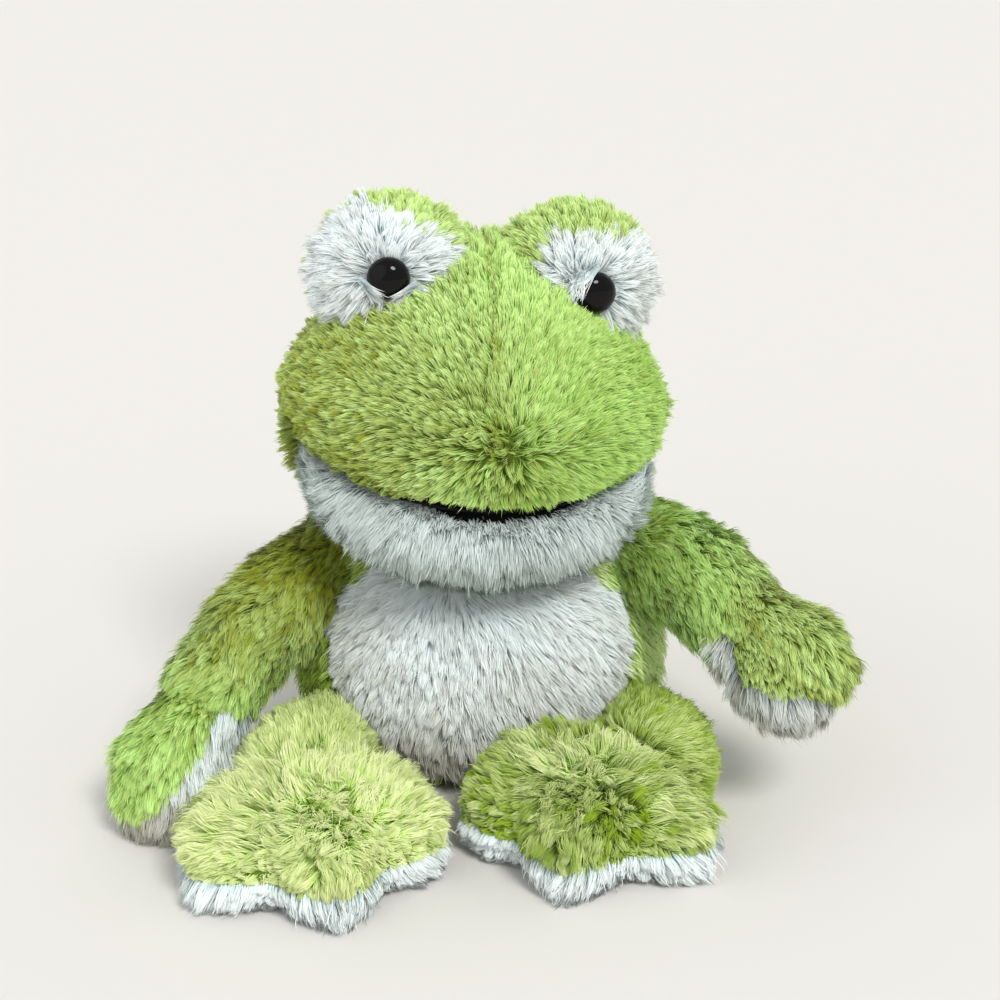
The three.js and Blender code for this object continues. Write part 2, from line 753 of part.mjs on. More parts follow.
function makeLeg(sideName, centre, pathShares, footPlace, footTurn) {
    const group = new THREE.Group();
    group.position.copy(centre);
    const leg = stuffedParts({
        spine: new THREE.CatmullRomCurve3(pathOf(pathShares, legLength)), table: legShares,
        width: legRadius, front: legRadius, back: legRadius,
        rings: limbRings, sides: limbSides, ends: limbEnds, rearAxis: zAxis,
    });
    const footMatrix = placedAt(footPlace.clone().sub(centre)).multiply(turnedBy(zAxis, footTurn));
    const foot = solidOf(footForm(footSides, footRings), footMatrix);
    const footInner = solidOf(footForm(footInnerSides, footRings, skinWall), footMatrix);
    const footFill = solidOf(footForm(footInnerSides, footRings, skinWall + seamGap), footMatrix);
    const footGrown = solidOf(footForm(footSides, footRings, -seamGap), footMatrix);
    const ground = new THREE.Vector3(0, 0, -centre.z);
    const under = beyond(ground, down);
    const skin = leg.outer.add(ballSolid(legRoot, seat))
        .subtract(leg.inner.add(ballSolid(legRoot - skinWall, seat, fillRoomSides)));
    const filling = leg.fill.add(ballSolid(legRoot - skinWall - seamGap, seat, fillRoomSides));
    group.add(meshOf(`leg_skin_${sideName}`, skin.subtract(footGrown).subtract(under), greenPlush));
    group.add(meshOf(`leg_stuffing_${sideName}`, filling.subtract(footGrown), fibre));
    const rim = new THREE.Vector3(0, 0, footPlace.z - centre.z);
    const rimUp = rim.clone().add(new THREE.Vector3(0, 0, seamGap));
    const shell = foot.subtract(footInner).subtract(under);
    group.add(meshOf(`sole_${sideName}`, shell.intersect(beyond(rim, down)), whitePlush));
    group.add(meshOf(`foot_top_${sideName}`, shell.intersect(beyond(rimUp, zAxis)), brightPlush));
    group.add(meshOf(`foot_stuffing_${sideName}`, footFill, fibre));
    return group;
}

const frog = new THREE.Group();
frog.add(
    makeTorso(),
    makeNeckSeam(),
    makeHead(),
    makeArm('right', shoulderRight, armRightPathShares, palmRightShares),
    makeArm('left', shoulderLeft, armLeftPathShares, palmLeftShares),
    makeLeg('right', hipRight, legRightPathShares, footRight, footRightTurn),
    makeLeg('left', hipLeft, legLeftPathShares, footLeft, footLeftTurn),
);

export default frog;
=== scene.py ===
# A seated plush frog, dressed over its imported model. Metres, +Z up, the toy faces -Y.
# Left and right are the toy's own sides, so its left is +X.
import json
import math

import bmesh
import bpy
import numpy as np
from mathutils import Matrix, Vector
from mathutils.bvhtree import BVHTree
from mathutils.kdtree import KDTree


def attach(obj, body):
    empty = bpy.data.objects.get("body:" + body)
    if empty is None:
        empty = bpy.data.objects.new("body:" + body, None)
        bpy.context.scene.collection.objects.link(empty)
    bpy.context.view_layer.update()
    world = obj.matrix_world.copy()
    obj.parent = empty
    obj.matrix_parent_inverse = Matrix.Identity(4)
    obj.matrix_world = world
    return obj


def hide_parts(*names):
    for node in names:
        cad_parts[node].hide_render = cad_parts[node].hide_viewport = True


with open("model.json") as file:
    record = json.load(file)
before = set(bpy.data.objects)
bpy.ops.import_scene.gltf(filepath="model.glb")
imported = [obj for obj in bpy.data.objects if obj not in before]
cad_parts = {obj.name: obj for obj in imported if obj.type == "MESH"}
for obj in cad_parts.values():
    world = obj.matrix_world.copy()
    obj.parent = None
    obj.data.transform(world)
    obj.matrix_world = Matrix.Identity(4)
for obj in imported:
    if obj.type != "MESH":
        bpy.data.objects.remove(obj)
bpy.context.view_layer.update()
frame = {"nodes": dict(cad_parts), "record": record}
scene = bpy.context.scene
mm = 0.001
up = np.array([0.0, 0.0, 1.0])
sides = {"Right": -1, "Left": 1}


def colour(red, green, blue):
    # a screen colour, 0 to 255, as the linear numbers that shaders take
    found = []
    for value in (red, green, blue):
        value = value / 255
        found.append(value / 12.92 if value <= 0.04045 else ((value + 0.055) / 1.055) ** 2.4)
    return (*found, 1.0)


def unit(vectors):
    return vectors / np.maximum(np.linalg.norm(vectors, axis=-1, keepdims=True), 1e-12)


def ease(value, low, high):
    # 0 below low, 1 above high, smooth between
    share = np.clip((value - low) / (high - low), 0, 1)
    return share * share * (3 - 2 * share)


# Camera

cameraView = {
    "target": (0.006, -0.030, 0.110),
    "distance": 0.75,
    "elevation": 20,
    "frameHeight": 0.366,
    "sensor": 36,
    "clip": (0.01, 50),
}


def makeCamera(view):
    data = bpy.data.cameras.new("camera")
    data.sensor_fit = "HORIZONTAL"
    data.sensor_width = view["sensor"]
    data.lens = view["sensor"] * view["distance"] / view["frameHeight"]
    data.clip_start, data.clip_end = view["clip"]
    camera = bpy.data.objects.new("camera", data)
    scene.collection.objects.link(camera)
    tilt = math.radians(view["elevation"])
    back = Vector((0, -math.cos(tilt), math.sin(tilt)))
    camera.location = Vector(view["target"]) + view["distance"] * back
    camera.rotation_euler = (math.pi / 2 - tilt, 0, 0)
    scene.camera = camera


makeCamera(cameraView)
print("camera placed")


# Node groups

def newGroup(name, inputs, outputs):
    group = bpy.data.node_groups.new(name, "ShaderNodeTree")
    for label, kind, value in inputs:
        socket = group.interface.new_socket(name=label, in_out="INPUT", socket_type=kind)
        socket.default_value = value
    for label, kind in outputs:
        group.interface.new_socket(name=label, in_out="OUTPUT", socket_type=kind)
    return group, group.nodes.new("NodeGroupInput"), group.nodes.new("NodeGroupOutput")


def addNode(tree, kind, **values):
    node = tree.nodes.new(kind)
    for name, value in values.items():
        setattr(node, name, value)
    return node


def blendColours(tree, factor, first, second):
    # inputs may be sockets or plain values
    node = addNode(tree, "ShaderNodeMix", data_type="RGBA")
    for place, value in ((0, factor), (6, first), (7, second)):
        if isinstance(value, bpy.types.NodeSocket):
            tree.links.new(value, node.inputs[place])
        else:
            node.inputs[place].default_value = value
    return node.outputs[2]


def spread(tree, source, limits):
    # a value from 0 to 1, spread between two limits
    node = addNode(tree, "ShaderNodeMapRange")
    node.inputs["To Min"].default_value, node.inputs["To Max"].default_value = limits
    tree.links.new(source, node.inputs["Value"])
    return node.outputs["Result"]


# The dark root colours are painted shade deep in the pile; the dark and light tones are partly random, partly
# painted shade and painted light
shadeNames = ("Dark Root", "Dark Tip", "Light Root", "Light Tip")
strandLook = {"riseFrom": 0.15, "rough": (0.85, 0.5), "specular": 0.35, "sheen": 0.2, "sheenRough": 0.4}
knitLook = {"cloudScale": 90, "rough": (0.8, 0.98), "bump": 0.6, "bumpHeight": 0.4 * mm}
noiseLook = {"detail": 5, "bumpHeight": 0.5 * mm}


def makePileGroup():
    # the colour along a strand, from shaded root to pale tip, over a range of tones
    inputs = [(label, "NodeSocketColor", (1, 1, 1, 1)) for label in shadeNames]
    group, given, result = newGroup(
        "pile colour", inputs + [("Root Length", "NodeSocketFloat", 0.6)],
        [("Color", "NodeSocketColor"), ("Roughness", "NodeSocketFloat")])
    strand = addNode(group, "ShaderNodeUVMap", uv_map="OFBake")
    split = addNode(group, "ShaderNodeSeparateXYZ")
    group.links.new(strand.outputs["UV"], split.inputs[0])
    along, tone = split.outputs["X"], split.outputs["Y"]
    rise = addNode(group, "ShaderNodeMapRange", interpolation_type="SMOOTHSTEP")
    group.links.new(along, rise.inputs["Value"])
    rise.inputs["From Min"].default_value = strandLook["riseFrom"]
    group.links.new(given.outputs["Root Length"], rise.inputs["From Max"])
    root = blendColours(group, tone, given.outputs["Dark Root"], given.outputs["Light Root"])
    tip = blendColours(group, tone, given.outputs["Dark Tip"], given.outputs["Light Tip"])
    group.links.new(blendColours(group, rise.outputs["Result"], root, tip), result.inputs["Color"])
    group.links.new(spread(group, along, strandLook["rough"]), result.inputs["Roughness"])
    return group


def makeKnitGroup():
    # knitted backing cloth: fine rows that vary a little in shade
    group, given, result = newGroup(
        "knit backing",
        [("Color", "NodeSocketColor", (1, 1, 1, 1)), ("Shade", "NodeSocketColor", (0, 0, 0, 1)),
         ("Stitch Size", "NodeSocketFloat", 1500.0)],
        [("Color", "NodeSocketColor"), ("Height", "NodeSocketFloat"), ("Roughness", "NodeSocketFloat")])
    place = addNode(group, "ShaderNodeTexCoord")
    stitches = addNode(group, "ShaderNodeTexVoronoi", feature="SMOOTH_F1")
    group.links.new(place.outputs["Object"], stitches.inputs["Vector"])
    group.links.new(given.outputs["Stitch Size"], stitches.inputs["Scale"])
    cloudy = addNode(group, "ShaderNodeTexNoise")
    cloudy.inputs["Scale"].default_value = knitLook["cloudScale"]
    group.links.new(place.outputs["Object"], cloudy.inputs["Vector"])
    between = addNode(group, "ShaderNodeMath", operation="MULTIPLY")
    group.links.new(stitches.outputs["Distance"], between.inputs[0])
    group.links.new(cloudy.outputs["Fac"], between.inputs[1])
    group.links.new(blendColours(group, between.outputs[0], given.outputs["Color"], given.outputs["Shade"]),
                    result.inputs["Color"])
    group.links.new(stitches.outputs["Distance"], result.inputs["Height"])
    group.links.new(spread(group, cloudy.outputs["Fac"], knitLook["rough"]), result.inputs["Roughness"])
    return group


pileGroup = makePileGroup()
knitGroup = makeKnitGroup()


# Materials

def newMaterial(name):
    material = bpy.data.materials.new(name)
    material.use_nodes = True
    return material, material.node_tree, material.node_tree.nodes["Principled BSDF"]


def placeGroup(tree, group, shader, values):
    node = addNode(tree, "ShaderNodeGroup", node_tree=group)
    for label, value in values.items():
        node.inputs[label].default_value = value
    tree.links.new(node.outputs["Color"], shader.inputs["Base Color"])
    tree.links.new(node.outputs["Roughness"], shader.inputs["Roughness"])
    return node


def bumpFrom(tree, height, shader, strength, distance):
    bump = addNode(tree, "ShaderNodeBump")
    bump.inputs["Strength"].default_value = strength
    bump.inputs["Distance"].default_value = distance
    tree.links.new(height, bump.inputs["Height"])
    tree.links.new(bump.outputs["Normal"], shader.inputs["Normal"])


# The root length of each pile, then its screen colours in the order of shadeNames
pileColours = {
    # the green plush; its olive dark end is painted warm shade
    "green pile": (0.92, (84, 92, 4), (166, 178, 44), (140, 178, 60), (224, 252, 166)),
    # the same green plush with painted cool light, used toward the toy's left
    "fresh pile": (0.85, (76, 112, 10), (144, 192, 50), (140, 194, 66), (214, 252, 152)),
    # the green plush painted brighter and yellower as painted light, for the legs, feet and side; its dark
    # end is painted shade
    "lime pile": (0.65, (78, 98, 6), (150, 184, 24), (214, 253, 128), (246, 255, 190)),
    # the white plush; its warm grey dark end is painted shade
    "white pile": (0.65, (104, 99, 80), (184, 181, 165), (196, 214, 217), (247, 255, 255)),
    # the white plush with painted light: lighter roots for the soles' fringe and the belly, which lie in
    # shade
    "pale pile": (0.55, (104, 99, 80), (184, 181, 165), (226, 246, 250), (247, 255, 255)),
    # the white plush whose dark end is the cool grey of painted shade, for the jaw
    "cool pile": (0.65, (90, 98, 88), (170, 182, 176), (196, 216, 219), (245, 255, 255)),
}
# Each backing is painted darker than its pile, as painted shade in the gaps between tufts
backingColours = {
    "green backing": ((94, 110, 22), (66, 80, 12)),
    "lime backing": ((104, 126, 32), (76, 96, 18)),
    "white backing": ((176, 178, 172), (136, 138, 130)),
}


def makePileMaterial(name, rootLength, *shades):
    material, tree, shader = newMaterial(name)
    values = {label: colour(*shade) for label, shade in zip(shadeNames, shades)}
    placeGroup(tree, pileGroup, shader, {**values, "Root Length": rootLength})
    shader.inputs["Specular IOR Level"].default_value = strandLook["specular"]
    shader.inputs["Sheen Weight"].default_value = strandLook["sheen"]
    shader.inputs["Sheen Roughness"].default_value = strandLook["sheenRough"]
    return material


def makeBackingMaterial(name, base, shade):
    material, tree, shader = newMaterial(name)
    knit = placeGroup(tree, knitGroup, shader, {"Color": colour(*base), "Shade": colour(*shade)})
    bumpFrom(tree, knit.outputs["Height"], shader, knitLook["bump"], knitLook["bumpHeight"])
    return material


def makeNoisyMaterial(name, base, shade, scale, rough, bump, stretch=(1, 1, 1)):
    # an even material whose colour, roughness and height follow one noise
    material, tree, shader = newMaterial(name)
    place = addNode(tree, "ShaderNodeTexCoord")
    mapping = addNode(tree, "ShaderNodeMapping")
    mapping.inputs["Scale"].default_value = stretch
    noise = addNode(tree, "ShaderNodeTexNoise")
    noise.inputs["Scale"].default_value = scale
    noise.inputs["Detail"].default_value = noiseLook["detail"]
    tree.links.new(place.outputs["Object"], mapping.inputs["Vector"])
    tree.links.new(mapping.outputs["Vector"], noise.inputs["Vector"])
    blend = blendColours(tree, noise.outputs["Fac"], colour(*base), colour(*shade))
    tree.links.new(blend, shader.inputs["Base Color"])
    tree.links.new(spread(tree, noise.outputs["Fac"], rough), shader.inputs["Roughness"])
    bumpFrom(tree, noise.outputs["Fac"], shader, bump, noiseLook["bumpHeight"])
    return material, shader


pileMaterials = {name: makePileMaterial(name, *values) for name, values in pileColours.items()}
backingMaterials = {name: makeBackingMaterial(name, *values) for name, values in backingColours.items()}
eyeBlack, eyeShader = makeNoisyMaterial(
    "eye plastic", (6, 6, 7), (14, 12, 12), 60, (0.03, 0.07), 0.01)
eyeShader.inputs["Specular IOR Level"].default_value = 0.18
felt, feltShader = makeNoisyMaterial(
    "black felt", (10, 10, 12), (26, 25, 26), 2600, (0.85, 1.0), 0.7)
feltShader.inputs["Specular IOR Level"].default_value = 0.15
fibre, _ = makeNoisyMaterial(
    "stuffing fibre", (242, 240, 232), (214, 210, 198), 420, (0.8, 1.0), 0.9, (1, 1, 3))
sack, _ = makeNoisyMaterial(
    "pellet bag cloth", (206, 190, 150), (168, 150, 112), 900, (0.8, 0.95), 0.8)
washerPlastic, _ = makeNoisyMaterial(
    "washer plastic", (222, 222, 218), (204, 204, 200), 200, (0.35, 0.5), 0.1)
thread, _ = makeNoisyMaterial(
    "seam thread", (136, 166, 66), (96, 122, 38), 1800, (0.7, 0.9), 0.6, (1, 1, 6))

# The solids of the inside keep their own form, and take the finish of their slot
insideFinishes = {
    "fibre_stuffing": fibre, "pellets": sack, "washer_plastic": washerPlastic, "seam_thread": thread,
}
slotOf = {row["node"]: row["material_slot"] for row in frame["record"]["subparts"]}
for nodeName, slotName in slotOf.items():
    if slotName in insideFinishes:
        mesh = frame["nodes"][nodeName].data
        mesh.materials.clear()
        mesh.materials.append(insideFinishes[slotName])
print("materials made")


# Stuffed forms
# Each form is the closed outside of a skin and its filling, smoothed, and drawn in by the depth of the
# pressed pile. Its pieces of cloth are cut from it.

formSettings = {"voxel": 1.9 * mm, "smoothRounds": 14, "firm": 0.55, "swell": -0.57}
footSettings = {**formSettings, "smoothRounds": 6}


def inMouth(places):
    # 1 where the lining shows between lip and jaw, 0 at the corners
    return 1 - ease(np.abs(places[:, 0] - 8 * mm), 16 * mm, 50 * mm)


def bellyEdge(places):
    # how far the green side reaches over the edge of the belly panel
    return (5 + 6 * ease(places[:, 0], 10 * mm, 50 * mm)) * mm


def moundTop(places):
    # the green of the right mound reaches down its inner side
    aside, rise = places[:, 0] + 33 * mm, places[:, 2] - 194 * mm
    return 14 * mm * ease(0.48 * aside + 0.88 * rise, 16 * mm, 19 * mm)


# How much nearer a node counts than it lies, where pieces of cloth are shared out
favours = {
    "torso_skin": bellyEdge,
    "eye_mound_right": moundTop,
    "mouth_lining": lambda places: 7 * mm * inMouth(places) - 3.5 * mm,
    "palm_right": lambda places: 2 * mm + 30 * mm * ease(-places[:, 2], -16 * mm, -10 * mm),
    "palm_left": lambda places: (2 - 14 * ease(places[:, 2], 55 * mm, 61 * mm)
                                 * ease(places[:, 0], 87 * mm, 94 * mm)) * mm,
    "eye_mound_left": lambda places: 20 * mm * ease(-places[:, 0], -25 * mm, -20 * mm),
}
stuffedForms = {
    "torso": {"body": "torso", "fill": 0.75, "cloth": ["torso_skin", "belly_panel"],
              "inside": ["torso_stuffing", "seat_pellet_bag"]},
    "head": {"body": "head", "fill": 0.85, "cloth": ["head_skin_right", "head_skin_left"],
             "inside": ["head_stuffing"], "press": 0.8 * mm, "lined": True},
    "jaw": {"body": "head", "fill": 0.7, "cloth": ["jaw_skin"], "inside": ["jaw_stuffing"],
            "press": 0.8 * mm, "lined": True},
}
for sideName, side in sides.items():
    tail = "_" + sideName.lower()
    stuffedForms["mound" + sideName] = {
        "body": "head", "fill": 0.9, "cloth": ["eye_mound" + tail, "eye_patch" + tail],
        "inside": ["eye_mound_stuffing" + tail], "press": 1.6 * mm}
    stuffedForms["arm" + sideName] = {
        "body": "arm" + tail, "fill": 0.7, "cloth": ["arm_skin" + tail, "palm" + tail],
        "inside": ["arm_stuffing" + tail], "press": (2.4 if side < 0 else 1.4) * mm}
    stuffedForms["leg" + sideName] = {
        "body": "leg" + tail, "fill": 0.7, "cloth": ["leg_skin" + tail],
        "inside": ["leg_stuffing" + tail], "press": 1.6 * mm}
    stuffedForms["foot" + sideName] = {
        "body": "leg" + tail, "fill": 0.75, "cloth": ["foot_top" + tail, "sole" + tail],
        "inside": ["foot_stuffing" + tail], "press": 1.6 * mm, "settings": footSettings}


def columns(items, name, width, kind=np.float32):
    found = np.empty(len(items) * width, kind)
    items.foreach_get(name, found)
    return found.reshape(-1, width)


def largestPart(count, edges):
    # which vertices belong to the part of a mesh that has the most of them
    label = np.arange(count)
    while True:
        low = np.minimum(label[edges[:, 0]], label[edges[:, 1]])
        fresh = label.copy()
        np.minimum.at(fresh, edges[:, 0], low)
        np.minimum.at(fresh, edges[:, 1], low)
        fresh = fresh[fresh]
        if np.array_equal(fresh, label):
            break
        label = fresh
    return label == np.bincount(label).argmax()


def smoothed(co, edges, rounds, firm, swell):
    # each round draws points to their neighbours' mean and then lets the form swell back
    degree = np.bincount(edges.ravel(), minlength=len(co))[:, None]
    for step in range(2 * rounds):
        total = np.zeros_like(co)
        for axis in range(3):
            total[:, axis] = (np.bincount(edges[:, 0], co[edges[:, 1], axis], len(co))
                              + np.bincount(edges[:, 1], co[edges[:, 0], axis], len(co)))
        co = co + (firm if step % 2 == 0 else swell) * (total / degree - co)
    return co


def makeForm(name, nodeNames, s):
    mesh = bpy.data.meshes.new(name)
    bm = bmesh.new()
    for node in nodeNames:
        bm.from_mesh(frame["nodes"][node].data)
    bm.to_mesh(mesh)
    bm.free()
    rough = bpy.data.objects.new(name, mesh)
    scene.collection.objects.link(rough)
    remesh = rough.modifiers.new("remesh", "REMESH")
    remesh.mode = "VOXEL"
    remesh.voxel_size = s["voxel"]
    graph = bpy.context.evaluated_depsgraph_get()
    mesh = bpy.data.meshes.new_from_object(rough.evaluated_get(graph))
    bpy.data.objects.remove(rough)
    co = columns(mesh.vertices, "co", 3).astype(float)
    edges = columns(mesh.edges, "vertices", 2, np.int32)
    kept = largestPart(len(co), edges)
    faces = columns(mesh.loops, "vertex_index", 1, np.int32).reshape(-1, 4)
    faces = faces[kept[faces].all(1)]
    renumber = np.cumsum(kept) - 1
    edges = renumber[edges[kept[edges].all(1)]]
    co = smoothed(co[kept], edges, s["smoothRounds"], s["firm"], s["swell"])
    co[:, 2] = np.maximum(co[:, 2], 0)
    bpy.data.meshes.remove(mesh)
    return co, renumber[faces]


def faceTree(co, faces):
    return BVHTree.FromPolygons(co.tolist(), faces.tolist())


def nodeTree(node):
    mesh = frame["nodes"][node].data
    mesh.calc_loop_triangles()
    return faceTree(columns(mesh.vertices, "co", 3), columns(mesh.loop_triangles, "vertices", 3, np.int32))


def vertexNormals(co, faces):
    across = np.cross(co[faces[:, 2]] - co[faces[:, 0]], co[faces[:, 3]] - co[faces[:, 1]])
    normals = np.zeros_like(co)
    for corner in range(4):
        np.add.at(normals, faces[:, corner], across)
    return unit(normals)


def apartFrom(node, places):
    # how far each place lies from a CAD node
    tree = nodeTree(node)
    return np.array([tree.find_nearest(Vector(place))[3] for place in places])


def nearestPiece(centres, nodeNames):
    # for each place, which of the nodes lies nearest
    apart = [apartFrom(node, centres) - (favours[node](centres) if node in favours else 0)
             for node in nodeNames]
    return np.argmin(apart, axis=0)


def pieceName(node):
    # the node's name without its joins
    first, *others = node.split("_")
    return first + "".join(word.capitalize() for word in others)


def addPiece(name, mesh, body):
    piece = bpy.data.objects.new(name, mesh)
    scene.collection.objects.link(piece)
    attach(piece, body)
    return piece


def smoothPiece(name, co, faces, material, body):
    mesh = bpy.data.meshes.new(name)
    mesh.from_pydata(co.tolist(), [], faces)
    mesh.polygons.foreach_set("use_smooth", [True] * len(mesh.polygons))
    mesh.materials.append(material)
    return addPiece(name, mesh, body)


clothPieces = {}
liningParts = []
allPlaces, allFaces, placeCount = [], [], 0
for formName, form in stuffedForms.items():
    nodeNames = form["cloth"]
    co, faces = makeForm(formName, nodeNames + form["inside"], form.get("settings", formSettings))
    co = co - vertexNormals(co, faces) * form.get("press", 0)
    normals = vertexNormals(co, faces)
    lined = ["mouth_lining"] if "lined" in form else []
    owner = nearestPiece(co[faces].mean(1), nodeNames + lined)
    if lined:
        liningParts.append((co, faces[owner == len(nodeNames)]))
    allPlaces.append(co)
    allFaces.append(faces + placeCount)
    placeCount += len(co)
    for index, node in enumerate(nodeNames):
        piece = pieceName(node)
        backing = backingMaterials[slotOf[node].replace("_plush", " backing")]
        used, fresh = np.unique(faces[owner == index], return_inverse=True)
        cloth = smoothPiece(piece, co[used], fresh.reshape(-1, 4).tolist(), backing, form["body"])
        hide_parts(node)
        clothPieces[piece] = {"co": co[used], "normals": normals[used], "body": form["body"],
                              "slot": slotOf[node]}
bodyTree = faceTree(np.concatenate(allPlaces), np.concatenate(allFaces))
print("stuffed forms made:", len(clothPieces), "pieces of cloth,", placeCount, "points")


# Head frame, eyes and mouth

headFrame = {
    "neck": np.array([-9, 0, 98]) * mm,
    "yaw": 8, "roll": 4,
    "moundCentre": np.array([33, -18, 94]) * mm,
    "moundSize": np.array([28, 25, 26]) * mm,
    "gazeTurn": 8,
    "gazeLift": {-1: 6, 1: 0},
}
headAxes = np.array(Matrix.Rotation(math.radians(headFrame["yaw"]), 3, "Z")
                    @ Matrix.Rotation(math.radians(headFrame["roll"]), 3, "Y"))


def toHead(places):
    return (places - headFrame["neck"]) @ headAxes


def fromHead(vectors):
    return vectors @ headAxes.T


eyeShape = {
    "radius": 7.5 * mm, "bulge": 6 * mm, "rim": 0.9 * mm, "rimRound": 0.5 * mm, "sunk": 1.7 * mm,
    "square": 0.9, "shankRadius": 2.2 * mm, "shankLength": 9 * mm, "shankTip": 0.8, "shankTaper": 0.95,
    "turns": 64, "domeSteps": 20,
}


def eyeSeat(side):
    # the eye's seat on its mound and the way it looks, in the head's frame
    turn = math.radians(side * headFrame["gazeTurn"])
    lift = math.radians(headFrame["gazeLift"][side])
    gaze = np.array([math.sin(turn) * math.cos(lift), -math.cos(turn) * math.cos(lift), math.sin(lift)])
    centre = headFrame["moundCentre"] * [side, 1, 1]
    surface = 1 / np.linalg.norm(gaze / headFrame["moundSize"])
    return centre + gaze * (surface - eyeShape["sunk"]), gaze


def makeEye(sideName, side, s):
    # a turned profile, from the shank's tip to the middle of the dome
    place, gaze = eyeSeat(side)
    profile = [(0, -s["shankLength"]), (s["shankRadius"] * s["shankTip"], -s["shankLength"]),
               (s["shankRadius"], -s["shankLength"] * s["shankTaper"]), (s["shankRadius"], 0),
               (s["radius"] - s["rimRound"], 0), (s["radius"], s["rimRound"])]
    for step in range(s["domeSteps"]):
        angle = math.pi / 2 * step / s["domeSteps"]
        profile.append((s["radius"] * math.cos(angle) ** s["square"],
                        s["rim"] + (s["bulge"] - s["rim"]) * math.sin(angle)))
    profile.append((0, s["bulge"]))
    across = unit(np.cross(gaze, up))
    upright = np.cross(across, gaze)
    turns = np.linspace(0, 2 * math.pi, s["turns"], endpoint=False)
    co, faces = [], []
    for radius, height in profile[1:-1]:
        co += [place + gaze * height + radius * (across * math.cos(a) + upright * math.sin(a)) for a in turns]
    rings = len(profile) - 2
    for ring in range(rings - 1):
        for step in range(s["turns"]):
            low, nextLow = ring * s["turns"] + step, ring * s["turns"] + (step + 1) % s["turns"]
            faces.append([low, low + s["turns"], nextLow + s["turns"], nextLow])
    for height, first, flip in ((profile[0][1], 0, 1), (profile[-1][1], (rings - 1) * s["turns"], -1)):
        co.append(place + gaze * height)
        fan = [[len(co) - 1, first + step, first + (step + 1) % s["turns"]] for step in range(s["turns"])]
        faces += [face[::flip] for face in fan]
    world = fromHead(np.array(co)) + headFrame["neck"]
    eye = smoothPiece("eye" + sideName, world, faces, eyeBlack, "head")
    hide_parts("eye_" + sideName.lower())


for sideName, side in sides.items():
    makeEye(sideName, side, eyeShape)

liningSettings = {"voxel": 0.8 * mm, "smoothRounds": 4, "firm": 0.5, "swell": -0.5}
liningParts.append(makeForm("mouthLining", ["mouth_lining"], liningSettings))
liningPlaces, liningFaces, liningCount = [], [], 0
for co, faces in liningParts:
    used, fresh = np.unique(faces, return_inverse=True)
    liningPlaces.append(co[used])
    liningFaces.append(fresh.reshape(-1, 4) + liningCount)
    liningCount += len(used)
lining = smoothPiece("mouthLining", np.concatenate(liningPlaces), np.concatenate(liningFaces).tolist(),
                     felt, "head")
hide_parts("mouth_lining")
print("eyes and mouth made")


# Pile
# Strands grow from the whole cloth and gather into tufts, each round one guide. A strand is a flat
# ribbon that tapers to a point. Its place on the OFBake map holds how far along it a point lies, and
# its tone, which runs from painted shade to painted light with some random spread.

strandLevels = np.array([0.0, 0.34, 0.68, 1.0])
strandWidths = np.array([0.8, 1.0, 0.8])
strandLimit = 38000  # strands in one object
rootDepth = 0.5 * mm  # how far a strand's root lies below the cloth
pileDefaults = {
    "strands": 12,  # from each point of the cloth
    "scatter": 1.15 * mm,
    "guideShare": 0.55,  # share of the points that lead a tuft
    "width": 0.27 * mm,
    "length": 8 * mm,
    "lengthSpread": 0.18,
    "lift": 0.5,  # how far a tip stands off, as a share of its length
    "liftSpread": 0.4,
    "tuftLifts": (0.05, 0.97),
    "strandLifts": (0.03, 0.97),
    "gather": 0.8,  # how far the tips of a tuft close up
    "gatherSpread": (0.6, 1.15),
    "gatherCurve": 1.3,  # how late along a tuft its strands close up
    "turn": 0.16,  # how far a tuft turns from the combed way
    "wave": 0.28,  # how far the combed way itself wanders
    "waveSize": 9 * mm,
    "wild": 0.09,  # how far a strand strays from its tuft
    "droop": 0.08,
    "tuftTone": 0.12,
    "strandTone": 0.11,
    "softness": 0.5,  # share of the cloth's own normal in a strand's
    "strandLengths": (0.72, 1.08),
    "strays": 0.04,  # share of the strands that stand clear of their tuft
    "strayLength": 1.25,
    "strayGather": 0.3,
    "faceTurn": 0.5,  # how far a strand's flat side turns away from the cloth
    "facingUp": 0.0,  # how far the strands catch light from above
    "groundGap": (0.1, 1.2),  # millimetres that the strands stay above the ground
    "shortest": 1.4 * mm,
    "leastRoom": 0.9 * mm,  # over the cloth, for a strand to grow
    "overRoom": 1.5,  # a strand's length as a share of the room over it
    "aheadRoom": 0.95,  # the same for the room along its own way
    "overFrom": 0.5 * mm,  # where the search for room starts
    "aheadFrom": 1.0 * mm,
    "restHeight": 2.5 * mm,  # cloth below this that faces down rests on the ground
    "restTilt": -0.5,
}
strandCounts = []


def patchy(places, size):
    # a soft random-looking value from -1 to 1 that changes over about this size
    p = places / size
    waves = (np.sin(p @ [1.7, 0.6, 1.1] + 0.7) + np.sin(p @ [-0.9, 1.5, 0.8] + 2.1)
             + np.sin(p @ [0.5, -1.2, 1.8] + 4.0) + np.sin(p @ [1.1, 1.9, -1.3] + 5.2))
    return waves / 2.6


def turned(flows, normals, angles):
    across = np.cross(normals, flows)
    return np.cos(angles)[:, None] * flows + np.sin(angles)[:, None] * across


def room(places, ways, reach):
    # how far each place can see along its way before it meets cloth, or -1 inside cloth
    found = np.empty(len(places))
    for index, (place, way) in enumerate(zip(places, ways)):
        hit = bodyTree.ray_cast(Vector(place), Vector(way), reach[index])
        if hit[0] is None:
            found[index] = reach[index]
        else:
            found[index] = -1 if hit[1].dot(Vector(way)) > 0 else hit[3]
    return found


